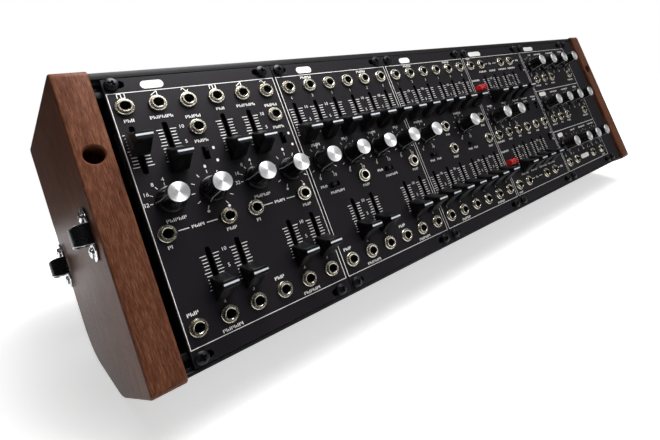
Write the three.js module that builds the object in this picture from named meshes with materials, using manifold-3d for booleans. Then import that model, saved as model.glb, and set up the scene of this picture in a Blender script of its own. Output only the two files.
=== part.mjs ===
// Desktop modular synthesizer: five wide modules and a blank panel in a rack
// three units high, between two wooden end cheeks, leaning back on the slope
// of the cheeks. Millimetres, +Z up, the front faces -Y.
//
// The rack is drawn upright: x runs to the right from the left end of the row
// of panels, y runs back from the front face of the panels, z runs up from
// their bottom edge. The last lines lean it back and stand it on the floor.

import * as THREE from 'three';
import { mergeVertices } from 'three/addons/utils/BufferGeometryUtils.js';
import Module from 'manifold-3d';

const wasm = await Module();
wasm.setup();

// Rack and panels
const pitch = 5.08;
const module_pitches = 16;
const blank_pitches = 4;
const panel_height = 128.5;
const panel_thickness = 2;
const panel_side_gap = 0.2;
const panel_end_gap = 0.4;
const seat_gap = 0.3;
const lean_degrees = 30;

// Wooden end cheeks
const cheek_thickness = 14;
const cheek_depth = 95;
const cheek_proud = 1.5;
const cheek_beyond_top = 4.5;
const cheek_beyond_bottom = 3.4;
const cheek_gap = 3.4;
const slope_rise = 23.8;
const cheek_bevel = 0.7;
const corner_radius = 3;
const knee_radius = 16;
const toe_radius = 6;
const cheek_hole_diameter = 8;
const cheek_hole_depth = 12;

// Rails, the threaded strips in them and the panel screws
const rail_overlap = 7.5;
const rail_beyond_top = 3.6;
const rail_beyond_bottom = 2;
const rail_depth = 10;
const rail_lip_depth = 1.9;
const groove_width = 3.4;
const groove_lip = 1.5;
const strip_height = 5;
const strip_depth = 2.6;
const screw_edge = 3;
const screw_inset = 3.75;
const screw_span_pitches = 14;
const screw_diameter = 2.8;
const screw_head_diameter = 5.6;
const screw_head_height = 2;
const screw_slot_height = 3.4;
const screw_slot_length = 6.8;

// Folded rear cover, power board and supply inlet
const cover_inset = 1.5;
const sheet = 1.5;
const cover_flange = 8;
const power_board_inset = 64;
const power_board_height = 60;
const standoff_length = 6;
const standoff_width = 6;
const header_length = 20;
const header_width = 8;
const header_height = 9;
const inlet_offset = 40;
const inlet_body = 11;
const inlet_body_depth = 12;
const inlet_barrel_diameter = 8.4;
const inlet_bore_diameter = 6.2;
const inlet_bore_depth = 9;
const inlet_pin_diameter = 2;

// Circuit boards and what is soldered to them
const board_thickness = 1.6;
const board_margin = 2.4;
const board_end_margin = 9.5;
const jack_body_width = 9;
const jack_body_height = 10.4;
const jack_body_depth = 10;
const jack_bore_diameter = 3.7;
const jack_nut_diameter = 7.8;
const jack_nut_height = 1.9;
const jack_top_gap = 1.1;
const jack_bottom_gap = 2;
const rotary_width = 9.6;
const rotary_height = 11;
const rotary_depth = 7.2;
const slide_body_width = 8;
const slide_body_depth = 6.2;
const slide_body_margin = 7;
const switch_body_width = 5;
const switch_body_length = 10;

// Turning knobs
const knob_gap = 0.8;
const knob_skirt_diameter = 12.4;
const knob_skirt_height = 1.5;
const knob_neck_diameter = 10.4;
const knob_cap_diameter = 9;
const knob_bevel = 0.7;
const knob_height = 12.9;
const shaft_diameter = 6;
const shaft_clearance = 0.7;

// Sliding caps
const slider_travel = 15;
const slider_gap = 1.2;
const slider_height = 12.8;
const slider_foot_length = 11;
const slider_ridge_length = 4.6;
const slider_width = 7.4;
const lever_width = 1.2;
const lever_length = 4;
const lever_clearance = 0.5;
const lever_end_clearance = 1.7;

// Slide switches and push buttons
const switch_travel = 3;
const switch_nub_width = 2;
const switch_nub_length = 2.6;
const switch_nub_height = 2.6;
const switch_clearance = 0.4;
const button_width = 9;
const button_length = 4;
const button_height = 4.6;
const button_travel = 1;
const button_stem = 3;
const button_clearance = 0.5;
const lamp_diameter = 3;
const lamp_height = 1.4;

// Strap loops on the cheeks
const loop_plate_length = 23.4;
const loop_plate_width = 9;
const loop_plate_thickness = 1;
const loop_plate_corner = 2.6;
const loop_width = 9.2;
const loop_reach = 7;
const loop_span = 8;
const loop_wall = 0.9;
const loop_chamfer = 1.8;
const loop_screw_gap = 0.6;
const loop_screw_diameter = 4.6;
const loop_screw_height = 1.8;
const loop_edge = 12;
const loop_rear_edge = 6;

// How finely round things are drawn, and how far cuts run over
const nut_sides = 8;
const bore_sides = 6;
const knob_sides = 10;
const screw_sides = 6;
const hole_sides = 12;
const corner_steps = 3;
const overrun = 1;

// Places on a module: columns count from 0 at the left, rows are shares of
// the panel's height
const columns = 6;
const column_shift = 0.65;
const knob_columns = 4;
const row_shares = {
  jack_second: 0.7837, jack_beside: 0.565, jack_middle: 0.4358,
  effects_jack: 0.7339,
  slider_upper: 0.7354, slider_lower: 0.2685,
  knob: 0.5447, effects_knob_upper: 0.8389, effects_knob_lower: 0.2342,
  switch_upper: 0.681, switch_beside: 0.56, switch_middle: 0.4358, envelope_switch: 0.8405,
  envelope_switch_lower: 0.3268,
  button_upper: 0.741, button_lower: 0.257, lamp: 0.303,
  cheek_hole: 0.744, inlet: 0.5, power_board: 0.55, bus_header: 0.3, strap_loop: 0.516,
};

const effects_jack_shares = [0.122, 0.283, 0.44, 0.8575];
const effects_jack_end_shares = [0.64, 0.8575];
const effects_knob_end_shares = [0.125, 0.424, 0.65, 0.875];
const range_knob_shift = 1.6;
const input_knob_shift = 0.7;
const button_shift = 1.2;
const first_slider_share = 0.66;
const waist_share = 0.85;
const head_dome_share = 0.72;

// Sizes worked out from the ones above
const module_width = module_pitches * pitch;
const pi = Math.PI;
const seat_y = panel_thickness + seat_gap;
const board_y = seat_y + jack_body_depth;
const rail_back_y = seat_y + rail_depth;
const lean = THREE.MathUtils.degToRad(lean_degrees);
const top_row_z = panel_height - rail_overlap - jack_top_gap - jack_body_height / 2;
const bottom_row_z = rail_overlap + jack_bottom_gap + jack_body_height / 2;

const along_x = new THREE.Matrix4().makeBasis(
  new THREE.Vector3(0, 1, 0), new THREE.Vector3(0, 0, 1), new THREE.Vector3(1, 0, 0));

// Builds a closed mesh into a solid that can be joined and cut
function solid(geometry) {
  geometry.deleteAttribute('normal');
  geometry.deleteAttribute('uv');
  const merged = mergeVertices(geometry);
  const index = merged.index.array;
  const kept = [];
  for (let i = 0; i < index.length; i += 3) {
    const [a, b, c] = [index[i], index[i + 1], index[i + 2]];
    if (a !== b && b !== c && c !== a) kept.push(a, b, c);
  }
  return new wasm.Manifold(new wasm.Mesh({
    numProp: 3,
    vertProperties: new Float32Array(merged.attributes.position.array),
    triVerts: new Uint32Array(kept),
  }));
}

// Turns a solid back into geometry for a mesh
function geometryOf(body) {
  const mesh = body.getMesh();
  const geometry = new THREE.BufferGeometry();
  geometry.setAttribute('position', new THREE.BufferAttribute(mesh.vertProperties, mesh.numProp));
  geometry.setIndex(new THREE.BufferAttribute(mesh.triVerts, 1));
  geometry.computeVertexNormals();
  return geometry;
}

// A block between two corners
function block(x0, x1, y0, y1, z0, z1) {
  const geometry = new THREE.BoxGeometry(x1 - x0, y1 - y0, z1 - z0);
  return solid(geometry.translate((x0 + x1) / 2, (y0 + y1) / 2, (z0 + z1) / 2));
}

// A block of a given width and height about the line along y at (x, z)
function bar(x, z, width, height, y0, y1) {
  return block(x - width / 2, x + width / 2, y0, y1, z - height / 2, z + height / 2);
}

// A round rod along y at (x, z), with a flat side up
function rod(x, z, diameter, y0, y1, sides) {
  const geometry = new THREE.CylinderGeometry(diameter / 2, diameter / 2, y1 - y0, sides);
  return solid(geometry.rotateY(pi / sides).translate(x, (y0 + y1) / 2, z));
}

// A body of [radius, reach] points turned about the line along y at (x, z),
// with its reach counted forwards from y
function turned(points, x, y, z, sides) {
  const outline = points.map(([radius, reach]) => new THREE.Vector2(radius, reach));
  return solid(new THREE.LatheGeometry(outline, sides).rotateX(pi).translate(x, y, z));
}

// An outline carried along x from x0 to x1
function carried(shape, x0, x1, bevel) {
  const geometry = new THREE.ExtrudeGeometry(shape, {
    depth: x1 - x0 - 2 * bevel,
    bevelEnabled: bevel > 0,
    bevelThickness: bevel,
    bevelSize: bevel,
    bevelOffset: -bevel,
    bevelSegments: 1,
    curveSegments: corner_steps,
  });
  return solid(geometry.applyMatrix4(along_x).translate(x0 + bevel, 0, 0));
}

// A straight-sided outline of [y, z] points carried along x
function profile(points, x0, x1) {
  return carried(new THREE.Shape(points.map(([y, z]) => new THREE.Vector2(y, z))), x0, x1, 0);
}

// The corners of the case seen from its end, drawn in by an inset: top front,
// top back, knee above the slope, toe below it, and bottom front
function caseCorners(inset, front) {
  const top = panel_height + cheek_beyond_top - inset;
  const bottom = inset - cheek_beyond_bottom;
  const back = cheek_depth - cheek_proud - inset;
  const slope_run = slope_rise / Math.tan(lean);
  const toe_y = cheek_depth - cheek_proud - slope_run - inset * Math.tan(lean / 2);
  const knee_z = -cheek_beyond_bottom + slope_rise + inset * (1 / Math.cos(lean) - Math.tan(lean));
  return [[front, top], [back, top], [back, knee_z], [toe_y, bottom], [front, bottom]];
}

// The same outline with its corners rounded off
function roundedCase(inset, front, radii) {
  const points = caseCorners(inset, front).map(([y, z]) => new THREE.Vector2(y, z));
  const shape = new THREE.Shape();
  points.forEach((corner, i) => {
    const before = points[(i + points.length - 1) % points.length];
    const after = points[(i + 1) % points.length];
    const start = before.clone().sub(corner).setLength(radii[i]).add(corner);
    const end = after.clone().sub(corner).setLength(radii[i]).add(corner);
    if (i === 0) shape.moveTo(start.x, start.y);
    else shape.lineTo(start.x, start.y);
    shape.quadraticCurveTo(corner.x, corner.y, end.x, end.y);
  });
  shape.closePath();
  return shape;
}

const finish = {
  wood: { color: 0x7a4a33, roughness: 0.45, metalness: 0 },
  rail: { color: 0x141416, roughness: 0.4, metalness: 0.6 },
  panel: { color: 0x262427, roughness: 0.55, metalness: 0.3 },
  cover: { color: 0x1b1b1d, roughness: 0.6, metalness: 0.4 },
  steel: { color: 0x2a2a2c, roughness: 0.35, metalness: 0.9 },
  board: { color: 0x1f4a2c, roughness: 0.6, metalness: 0 },
  inlet: { color: 0x111113, roughness: 0.4, metalness: 0 },
  knob: { color: 0x19191b, roughness: 0.45, metalness: 0.2 },
  bright: { color: 0xc9c7c2, roughness: 0.25, metalness: 1 },
  lens: { color: 0xd8281e, roughness: 0.25, metalness: 0 },
};

const rack = new THREE.Group();

// Adds one named piece to the rack
function piece(name, body, material) {
  const mesh = new THREE.Mesh(geometryOf(body), new THREE.MeshStandardMaterial(finish[material]));
  mesh.name = name;
  rack.add(mesh);
}

// Places on a module, from its left edge and from the bottom of the panels
const rowZ = (row) => row_shares[row] * panel_height;
const column = (c) => (c + 1 / 2) * (module_width / columns) - column_shift;
const knobColumn = (c) => (c + 1 / 2) * (module_width / knob_columns);
const at = (row, list) => list.map((c) => ({ x: column(c), z: rowZ(row) }));
const topJacks = (list) => list.map((c) => ({ x: column(c), z: top_row_z }));
const bottomJacks = (list) => list.map((c) => ({ x: column(c), z: bottom_row_z }));
const knobsAt = (row, list, even_shift) => list.map((c) => (
  { x: knobColumn(c) + (c % 2 === 0 ? even_shift : 0), z: rowZ(row) }));
const effectsJacks = (row) => effects_jack_shares.map((s) => ({ x: s * module_width, z: rowZ(row) }));
const every = [0, 1, 2, 3, 4, 5];
const outer_columns = [0, 1, 3, 4];
const modules = [
  {
    name: 'oscillator',
    jacks: [...topJacks(every), ...at('jack_second', [2, 5]),
      ...at('jack_middle', [0, 2, 3, 5]), ...bottomJacks(every)],
    sliders: [...at('slider_upper', [0, 1, 3, 4]), ...at('slider_lower', [1, 2, 4, 5])],
    knobs: knobsAt('knob', [0, 1, 2, 3], range_knob_shift),
    switches: at('switch_upper', [2, 5]),
  },
  {
    name: 'filter',
    jacks: [...topJacks(every), ...at('jack_middle', [2, 5]), ...bottomJacks(every)],
    sliders: [...at('slider_upper', every), ...at('slider_lower', [1, 2, 4, 5])],
    knobs: knobsAt('knob', [0, 1, 2, 3], 0),
    level_switches: at('switch_middle', [1 / 2, 7 / 2]),
  },
  {
    name: 'amplifier',
    jacks: [...topJacks(every), ...at('jack_beside', [2, 5]), ...at('jack_middle', [2, 5]),
      ...bottomJacks(every)],
    sliders: [...at('slider_upper', every), ...at('slider_lower', every)],
    knobs: knobsAt('knob', [0, 2], input_knob_shift),
    level_switches: at('switch_middle', [1 / 2, 7 / 2]),
  },
  {
    name: 'envelope',
    jacks: [...topJacks(outer_columns), ...at('jack_middle', every), ...bottomJacks(outer_columns)],
    sliders: [...at('slider_upper', [1, 2, 3, 4]), ...at('slider_lower', [1, 2, 3, 4])],
    knobs: knobsAt('knob', [0, 1], input_knob_shift),
    switches: [...at('envelope_switch', [5]), ...at('switch_beside', [4, 5]),
      ...at('envelope_switch_lower', [5])],
    buttons: ['button_upper', 'button_lower'].map((row) => ({ x: column(0) + button_shift, z: rowZ(row) })),
  },
  {
    name: 'effects',
    jacks: [...effectsJacks('effects_jack'), ...effectsJacks('jack_middle'), ...bottomJacks([0, 1]),
      ...effects_jack_end_shares.map((s) => ({ x: s * module_width, z: bottom_row_z }))],
    knobs: [...knobsAt('effects_knob_upper', [0, 1, 2, 3], 0), ...knobsAt('knob', [0, 1, 2, 3], 0),
      ...effects_knob_end_shares.map((s) => ({ x: s * module_width, z: rowZ('effects_knob_lower') }))],
    lamps: at('lamp', [1]),
  },
];
const row_length = (modules.length * module_pitches + blank_pitches) * pitch;

// The slot for a lever of a given width and length that travels along z
function leverSlot(x, z, width, length, clearance, end, travel) {
  return bar(x, z, width + 2 * clearance, length + travel + 2 * end, -overrun, panel_thickness + overrun);
}

// Where the panel screws of a panel sit, from its left end
function screwPlaces(wide) {
  return wide ? [screw_inset, screw_inset + screw_span_pitches * pitch] : [screw_inset];
}

// A plain panel with its screw slots, which reach inwards from the screws
function barePanel(x0, pitches, wide) {
  let body = block(x0 + panel_side_gap, x0 + pitches * pitch - panel_side_gap, 0, panel_thickness,
    0, panel_height);
  const reach = (screw_slot_length - screw_slot_height) / 2;
  screwPlaces(wide).forEach((place, i) => {
    const x = x0 + place + (i === 0 ? reach : -reach);
    for (const z of [screw_edge, panel_height - screw_edge]) {
      body = body.subtract(bar(x, z, screw_slot_length, screw_slot_height,
        -overrun, panel_thickness + overrun));
    }
  });
  return body;
}

// The lever of a slider and its cap, a scooped paddle, with the lever's foot
// at the height z
function sliderBody(x, z, lever_end) {
  const foot = -slider_gap;
  const top = -slider_gap - slider_height;
  const scoop = (foot + top) / 2;
  const waist = (slider_foot_length + slider_ridge_length) / 4;
  const outline = [
    [foot, slider_foot_length / 2], [foot - slider_gap, slider_foot_length / 2], [scoop, waist * waist_share],
    [top, slider_ridge_length / 2],
  ];
  const mirrored = outline.map(([y, up]) => [y, -up]).reverse();
  const points = [...outline, ...mirrored].map(([y, up]) => [y, z + up]);
  const cap = profile(points, x - slider_width / 2, x + slider_width / 2);
  return cap.add(bar(x, z, lever_width, lever_length, foot - overrun, lever_end));
}

// The nub of a slide switch: a small block on a stem through the panel
function switchNub(x, z, width, length, end) {
  return bar(x, z, width, length, -switch_nub_height, end);
}

// Makes one module: its panel, its board, and the controls that turn or slide
function makeModule(spec, x0) {
  const { name, jacks = [], sliders = [], knobs = [], switches = [], level_switches = [],
    buttons = [], lamps = [] } = spec;
  const moving = { sliders: name === 'oscillator', switches: name === 'oscillator' };
  const width = module_pitches * pitch;
  const slide_top = board_y - slide_body_depth;
  const rotary_top = board_y - rotary_depth;
  const slide_length = slider_travel + lever_length + slide_body_margin;
  let panel = barePanel(x0, module_pitches, true);
  let board = block(x0 + board_margin, x0 + width - board_margin, board_y, board_y + board_thickness,
    board_end_margin, panel_height - board_end_margin);
  const header_z = rowZ('bus_header');
  board = board.add(bar(x0 + width / 2, header_z, header_length, header_width,
    board_y, board_y + board_thickness + header_height));

  for (const { x, z } of jacks) {
    const middle = panel_thickness / 2;
    panel = panel.add(rod(x0 + x, z, jack_nut_diameter, -jack_nut_height, middle, nut_sides));
    board = board.add(bar(x0 + x, z, jack_body_width, jack_body_height,
      seat_y, board_y + board_thickness / 2));
  }
  for (const { x, z } of knobs) {
    const hole = shaft_diameter + 2 * shaft_clearance;
    panel = panel.subtract(rod(x0 + x, z, hole, -overrun, panel_thickness + overrun, nut_sides));
    board = board.add(bar(x0 + x, z, rotary_width, rotary_height,
      rotary_top, board_y + board_thickness / 2));
  }
  for (const { x, z } of sliders) {
    panel = panel.subtract(leverSlot(x0 + x, z, lever_width, lever_length, lever_clearance,
      lever_end_clearance, slider_travel));
    board = board.add(bar(x0 + x, z, slide_body_width, slide_length,
      slide_top, board_y + board_thickness / 2));
    const low = z - slider_travel / 2;
    if (!moving.sliders) board = board.add(sliderBody(x0 + x, low, slide_top + overrun));
  }
  for (const { x, z } of switches) {
    panel = panel.subtract(leverSlot(x0 + x, z, switch_nub_width, switch_nub_length, switch_clearance,
      switch_clearance, switch_travel));
    board = board.add(bar(x0 + x, z, switch_body_width, switch_body_length, slide_top,
      board_y + board_thickness / 2));
    if (!moving.switches) {
      board = board.add(switchNub(x0 + x, z + switch_travel / 2, switch_nub_width, switch_nub_length,
        slide_top + overrun));
    }
  }
  for (const { x, z } of level_switches) {
    const slot_length = switch_nub_length + switch_travel + 2 * switch_clearance;
    const slot_width = switch_nub_width + 2 * switch_clearance;
    panel = panel.subtract(bar(x0 + x, z, slot_length, slot_width, -overrun, panel_thickness + overrun));
    board = board.add(bar(x0 + x, z, switch_body_length, switch_body_width, slide_top,
      board_y + board_thickness / 2));
    board = board.add(switchNub(x0 + x - switch_travel / 2, z, switch_nub_length, switch_nub_width,
      slide_top + overrun));
  }
  for (const { x, z } of buttons) {
    const hole_width = button_width + 2 * button_clearance;
    const hole_length = button_length + 2 * button_clearance;
    panel = panel.subtract(bar(x0 + x, z, hole_width, hole_length, -overrun, panel_thickness + overrun));
    board = board.add(bar(x0 + x, z, switch_body_length, switch_body_length, slide_top,
      board_y + board_thickness / 2));
  }
  for (const { x, z } of lamps) {
    const hole = lamp_diameter + 2 * button_clearance;
    panel = panel.subtract(rod(x0 + x, z, hole, -overrun, panel_thickness + overrun, nut_sides));
    board = board.add(rod(x0 + x, z, lamp_diameter, -lamp_height,
      board_y + board_thickness / 2, nut_sides));
  }
  for (const { x, z } of jacks) {
    const bore = rod(x0 + x, z, jack_bore_diameter, -jack_nut_height - overrun, board_y - board_thickness / 2,
      bore_sides);
    panel = panel.subtract(bore);
    board = board.subtract(bore);
  }
  piece(`${name}_panel`, panel, 'panel');
  piece(`${name}_board`, board, 'board');

  knobs.forEach(({ x, z }, i) => {
    const foot = -rotary_top + seat_gap;
    const points = [
      [0, foot], [shaft_diameter / 2, foot], [shaft_diameter / 2, knob_gap],
      [knob_skirt_diameter / 2, knob_gap], [knob_skirt_diameter / 2, knob_gap + knob_skirt_height],
      [knob_neck_diameter / 2, knob_gap + knob_skirt_height + knob_bevel],
      [knob_cap_diameter / 2, knob_gap + knob_height], [0, knob_gap + knob_height],
    ];
    piece(`${name}_knob_${i + 1}`, turned(points, x0 + x, 0, z, knob_sides), 'knob');
  });
  if (moving.sliders) {
    sliders.forEach(({ x, z }, i) => {
      const raised = i === 0 ? first_slider_share * slider_travel : 0;
      const body = sliderBody(x0 + x, z - slider_travel / 2 + raised, slide_top - seat_gap);
      piece(`${name}_slider_${i + 1}`, body, 'knob');
    });
  }
  if (moving.switches) {
    switches.forEach(({ x, z }, i) => {
      const body = switchNub(x0 + x, z + switch_travel / 2, switch_nub_width, switch_nub_length,
        slide_top - seat_gap);
      piece(`${name}_switch_${i + 1}`, body, 'knob');
    });
  }
  buttons.forEach(({ x, z }, i) => {
    let body = bar(x0 + x, z, button_width, button_length, -button_height, panel_thickness);
    body = body.add(bar(x0 + x, z, button_stem, button_stem, panel_thickness - overrun,
      slide_top - button_travel - seat_gap));
    piece(`${name}_button_${i + 1}`, body, 'lens');
  });
}

// One end cheek; side is -1 for the left and 1 for the right
function makeCheek(name, side) {
  const inner = side < 0 ? -cheek_gap : row_length + cheek_gap;
  const outer = inner + side * cheek_thickness;
  const radii = [corner_radius, corner_radius, knee_radius, toe_radius, corner_radius];
  const outline = roundedCase(0, -cheek_proud, radii);
  let body = carried(outline, Math.min(inner, outer), Math.max(inner, outer), cheek_bevel);
  body = body.subtract(rod((inner + outer) / 2, rowZ('cheek_hole'), cheek_hole_diameter,
    -cheek_proud - overrun, cheek_hole_depth - cheek_proud, hole_sides));
  piece(name, body, 'wood');
}

// One front rail; side is -1 for the bottom and 1 for the top
function makeRail(name, side) {
  const edge = side < 0 ? 0 : panel_height;
  const inner = edge - side * rail_overlap;
  const outer = side < 0 ? edge - rail_beyond_bottom : edge + rail_beyond_top;
  const x0 = seat_gap - cheek_gap;
  const x1 = row_length + cheek_gap - seat_gap;
  const low = Math.min(inner, outer);
  const high = Math.max(inner, outer);
  const lip = edge + side * panel_end_gap;
  const groove_z = edge - side * screw_edge;
  const strip_reach = strip_height / 2 + seat_gap;
  let body = block(x0, x1, seat_y, rail_back_y, low, high);
  body = body.add(block(x0, x1, seat_y - rail_lip_depth, seat_y + overrun,
    Math.min(lip, outer), Math.max(lip, outer)));
  body = body.subtract(block(x0 - overrun, x1 + overrun, seat_y - overrun, seat_y + groove_lip + overrun,
    groove_z - groove_width / 2, groove_z + groove_width / 2));
  const strip_front = seat_y + groove_lip;
  body = body.subtract(block(x0 - overrun, x1 + overrun,
    strip_front, strip_front + strip_depth + 2 * seat_gap, groove_z - strip_reach, groove_z + strip_reach));
  piece(name, body, 'rail');
}

// The threaded strip in a rail, with the panel screws driven into it
function makeStrip(name, side) {
  const edge = side < 0 ? 0 : panel_height;
  const z = edge - side * screw_edge;
  const y0 = seat_y + groove_lip + seat_gap;
  let body = block(seat_gap - cheek_gap, row_length + cheek_gap - seat_gap, y0, y0 + strip_depth,
    z - strip_height / 2, z + strip_height / 2);
  const starts = modules.map((spec, m) => ({ x0: m * module_width, wide: true }));
  starts.push({ x0: modules.length * module_width, wide: false });
  for (const { x0, wide } of starts) {
    for (const place of screwPlaces(wide)) {
      const x = x0 + place;
      const radius = screw_head_diameter / 2;
      body = body.add(rod(x, z, screw_diameter, -seat_gap - overrun, y0 + overrun, screw_sides));
      body = body.add(turned([[0, seat_gap], [radius, seat_gap], [radius, seat_gap + screw_head_height / 2],
        [radius * head_dome_share, seat_gap + screw_head_height], [0, seat_gap + screw_head_height]],
      x, 0, z, screw_sides));
    }
  }
  piece(name, body, 'steel');
}

// The folded cover behind the rails, open at both ends, with the inlet's hole
function makeCover() {
  const x0 = seat_gap - cheek_gap;
  const x1 = row_length + cheek_gap - seat_gap;
  const front = rail_back_y + seat_gap;
  const outer = caseCorners(cover_inset, front);
  const inner = caseCorners(cover_inset + sheet, front + sheet);
  const [top, bottom] = [outer[0][1], outer[4][1]];
  let body = profile(outer, x0, x1);
  body = body.subtract(profile(inner, x0 - overrun, x1 + overrun));
  body = body.subtract(block(x0 - overrun, x1 + overrun, front - overrun, front + sheet + overrun,
    bottom + cover_flange, top - cover_flange));
  body = body.subtract(rod(inlet_offset, rowZ('inlet'), inlet_barrel_diameter + 2 * seat_gap,
    cheek_depth - cheek_proud - cover_inset - sheet - overrun, cheek_depth, hole_sides));
  piece('rear_cover', body, 'cover');
}

// The supply inlet: a body inside the cover, a barrel through it and a pin
function makeInlet() {
  const outside = cheek_depth - cheek_proud - cover_inset;
  const inside = outside - sheet - seat_gap;
  const z = rowZ('inlet');
  let body = bar(inlet_offset, z, inlet_body, inlet_body, inside - inlet_body_depth, inside);
  body = body.add(rod(inlet_offset, z, inlet_barrel_diameter,
    inside - overrun, outside + seat_gap, hole_sides));
  const bottom = outside + seat_gap - inlet_bore_depth;
  body = body.subtract(rod(inlet_offset, z, inlet_bore_diameter, bottom, outside + overrun, nut_sides));
  body = body.add(rod(inlet_offset, z, inlet_pin_diameter, bottom - overrun, outside - overrun, bore_sides));
  piece('supply_inlet', body, 'inlet');
}

// The power board on four standoffs inside the cover's back, with a header
// for each module
function makePowerBoard() {
  const back = cheek_depth - cheek_proud - cover_inset - sheet - seat_gap;
  const y1 = back - standoff_length;
  const y0 = y1 - board_thickness;
  const z = rowZ('power_board');
  const x = row_length / 2;
  const length = row_length - 2 * power_board_inset;
  let body = bar(x, z, length, power_board_height, y0, y1);
  const reach_x = length / 2 - standoff_width;
  const reach_z = power_board_height / 2 - standoff_width;
  for (const side of [-1, 1]) {
    for (const up of [-1, 1]) {
      body = body.add(bar(x + side * reach_x, z + up * reach_z, standoff_width, standoff_width,
        y1 - overrun, back));
    }
  }
  modules.forEach((spec, m) => {
    const place = x + (m - (modules.length - 1) / 2) * (length / modules.length);
    body = body.add(bar(place, z, header_length, header_width, y0 - header_height, y0 + board_thickness / 2));
  });
  piece('power_board', body, 'board');
}

// The outline of a strap loop's bridge across its face, drawn in by an inset
function archPoints(inset, foot) {
  const half = loop_span / 2 - inset;
  const top = loop_reach - inset;
  const corner = loop_chamfer - inset;
  return [[foot, -half], [top - corner, -half], [top, corner - half], [top, half - corner],
    [top - corner, half], [foot, half]];
}

// A strap loop on a cheek: a plate with a bridge and two screws
function makeLoop(name, side, y) {
  const face = side < 0 ? -cheek_gap - cheek_thickness : row_length + cheek_gap + cheek_thickness;
  const z = rowZ('strap_loop');
  const base = face + side * seat_gap;
  const span = (out0, out1) => [Math.min(base + side * out0, base + side * out1),
    Math.max(base + side * out0, base + side * out1)];
  const arch = (inset, foot, length) => {
    const points = archPoints(inset, foot)
      .map(([out, across]) => new THREE.Vector2(base + side * out, y + across));
    const outline = new THREE.Shape(points);
    const geometry = new THREE.ExtrudeGeometry(outline, { depth: length, bevelEnabled: false });
    return solid(geometry.translate(0, 0, z - length / 2));
  };
  const [half_width, half_length] = [loop_plate_width / 2, loop_plate_length / 2];
  const corners = [[half_width, half_length - loop_plate_corner],
    [half_width - loop_plate_corner, half_length]];
  const quarter = [...corners, ...corners.map(([across, up]) => [-across, up]).reverse()];
  const plate = [...quarter, ...quarter.map(([across, up]) => [-across, -up])];
  const [p0, p1] = span(0, loop_plate_thickness);
  let body = arch(0, loop_plate_thickness / 2, loop_width);
  body = body.subtract(arch(loop_wall, -overrun, 2 * loop_width));
  body = body.add(profile(plate.map(([across, up]) => [y + across, z + up]), p0, p1));
  const screw_reach = loop_width / 2 + loop_screw_gap + loop_screw_diameter / 2;
  const [h0, h1] = span(loop_plate_thickness / 2, loop_plate_thickness + loop_screw_height);
  for (const up of [-1, 1]) {
    const radius = loop_screw_diameter / 2;
    const head = new THREE.CylinderGeometry(radius, radius, h1 - h0, screw_sides);
    body = body.add(solid(head.rotateZ(pi / 2).translate((h0 + h1) / 2, y, z + up * screw_reach)));
  }
  piece(name, body, 'bright');
}

makeCheek('cheek_left', -1);
makeCheek('cheek_right', 1);
makeRail('rail_top', 1);
makeRail('rail_bottom', -1);
makeStrip('screw_strip_top', 1);
makeStrip('screw_strip_bottom', -1);
makeCover();
makeInlet();
makePowerBoard();
modules.forEach((spec, m) => makeModule(spec, m * module_width));
piece('blank_panel', barePanel(modules.length * module_width, blank_pitches, false), 'panel');
for (const [word, side] of [['left', -1], ['right', 1]]) {
  makeLoop(`strap_loop_${word}_front`, side, loop_edge - cheek_proud);
  makeLoop(`strap_loop_${word}_rear`, side, cheek_depth - cheek_proud - loop_rear_edge);
}

// Lean the rack back until the slope of the cheeks lies flat, and put the
// origin at the middle of its footprint
rack.rotation.x = -lean;
rack.updateMatrixWorld(true);
const bounds = new THREE.Box3().setFromObject(rack, true);
const middle = bounds.getCenter(new THREE.Vector3());
rack.position.set(-middle.x, -middle.y, -bounds.min.z);

export default rack;
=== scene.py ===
# %% [markdown]
# # A desktop modular synthesizer
# Five wide black modules and a narrow blank panel stand in a rack between two
# wooden cheeks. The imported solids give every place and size. This lesson
# dresses them one piece at a time: wood, rails, panels, printing, jacks,
# sliders, knobs, and what is behind the panels.

import math

import bpy
import numpy as np
from mathutils import Matrix, Vector


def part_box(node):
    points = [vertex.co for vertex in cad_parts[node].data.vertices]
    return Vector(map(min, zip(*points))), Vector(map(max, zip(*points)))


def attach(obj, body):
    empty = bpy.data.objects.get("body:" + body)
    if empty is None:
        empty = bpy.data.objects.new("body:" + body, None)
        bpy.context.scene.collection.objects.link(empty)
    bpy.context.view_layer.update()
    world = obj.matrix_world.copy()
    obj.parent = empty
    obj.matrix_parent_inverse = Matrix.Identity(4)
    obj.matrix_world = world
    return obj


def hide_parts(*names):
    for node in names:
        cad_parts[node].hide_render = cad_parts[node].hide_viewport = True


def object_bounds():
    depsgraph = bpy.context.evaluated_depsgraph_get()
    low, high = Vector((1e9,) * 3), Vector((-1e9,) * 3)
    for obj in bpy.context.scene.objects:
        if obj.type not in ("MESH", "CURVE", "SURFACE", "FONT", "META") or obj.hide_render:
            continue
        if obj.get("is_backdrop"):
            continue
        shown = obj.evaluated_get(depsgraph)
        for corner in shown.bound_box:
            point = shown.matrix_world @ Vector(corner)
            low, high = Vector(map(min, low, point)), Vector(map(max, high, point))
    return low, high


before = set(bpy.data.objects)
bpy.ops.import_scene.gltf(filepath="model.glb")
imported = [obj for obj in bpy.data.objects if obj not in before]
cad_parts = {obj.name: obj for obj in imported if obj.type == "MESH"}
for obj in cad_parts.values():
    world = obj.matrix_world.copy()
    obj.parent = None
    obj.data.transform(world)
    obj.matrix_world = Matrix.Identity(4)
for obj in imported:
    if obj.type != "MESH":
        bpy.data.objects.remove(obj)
cad_box = [list(corner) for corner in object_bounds()]

# %% [markdown]
# ## Rack coordinates
# The rack leans back 30 degrees, so drawing in world axes would be awkward.
# A technician measures along the panels instead: x to the right from the left
# end of the row, y into the rack from the front face of the panels, and z up
# from their bottom edge, all in millimetres. One turn and one shift lead from
# there to Blender's metres. The shift is read off the blank panel's corner.

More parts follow.
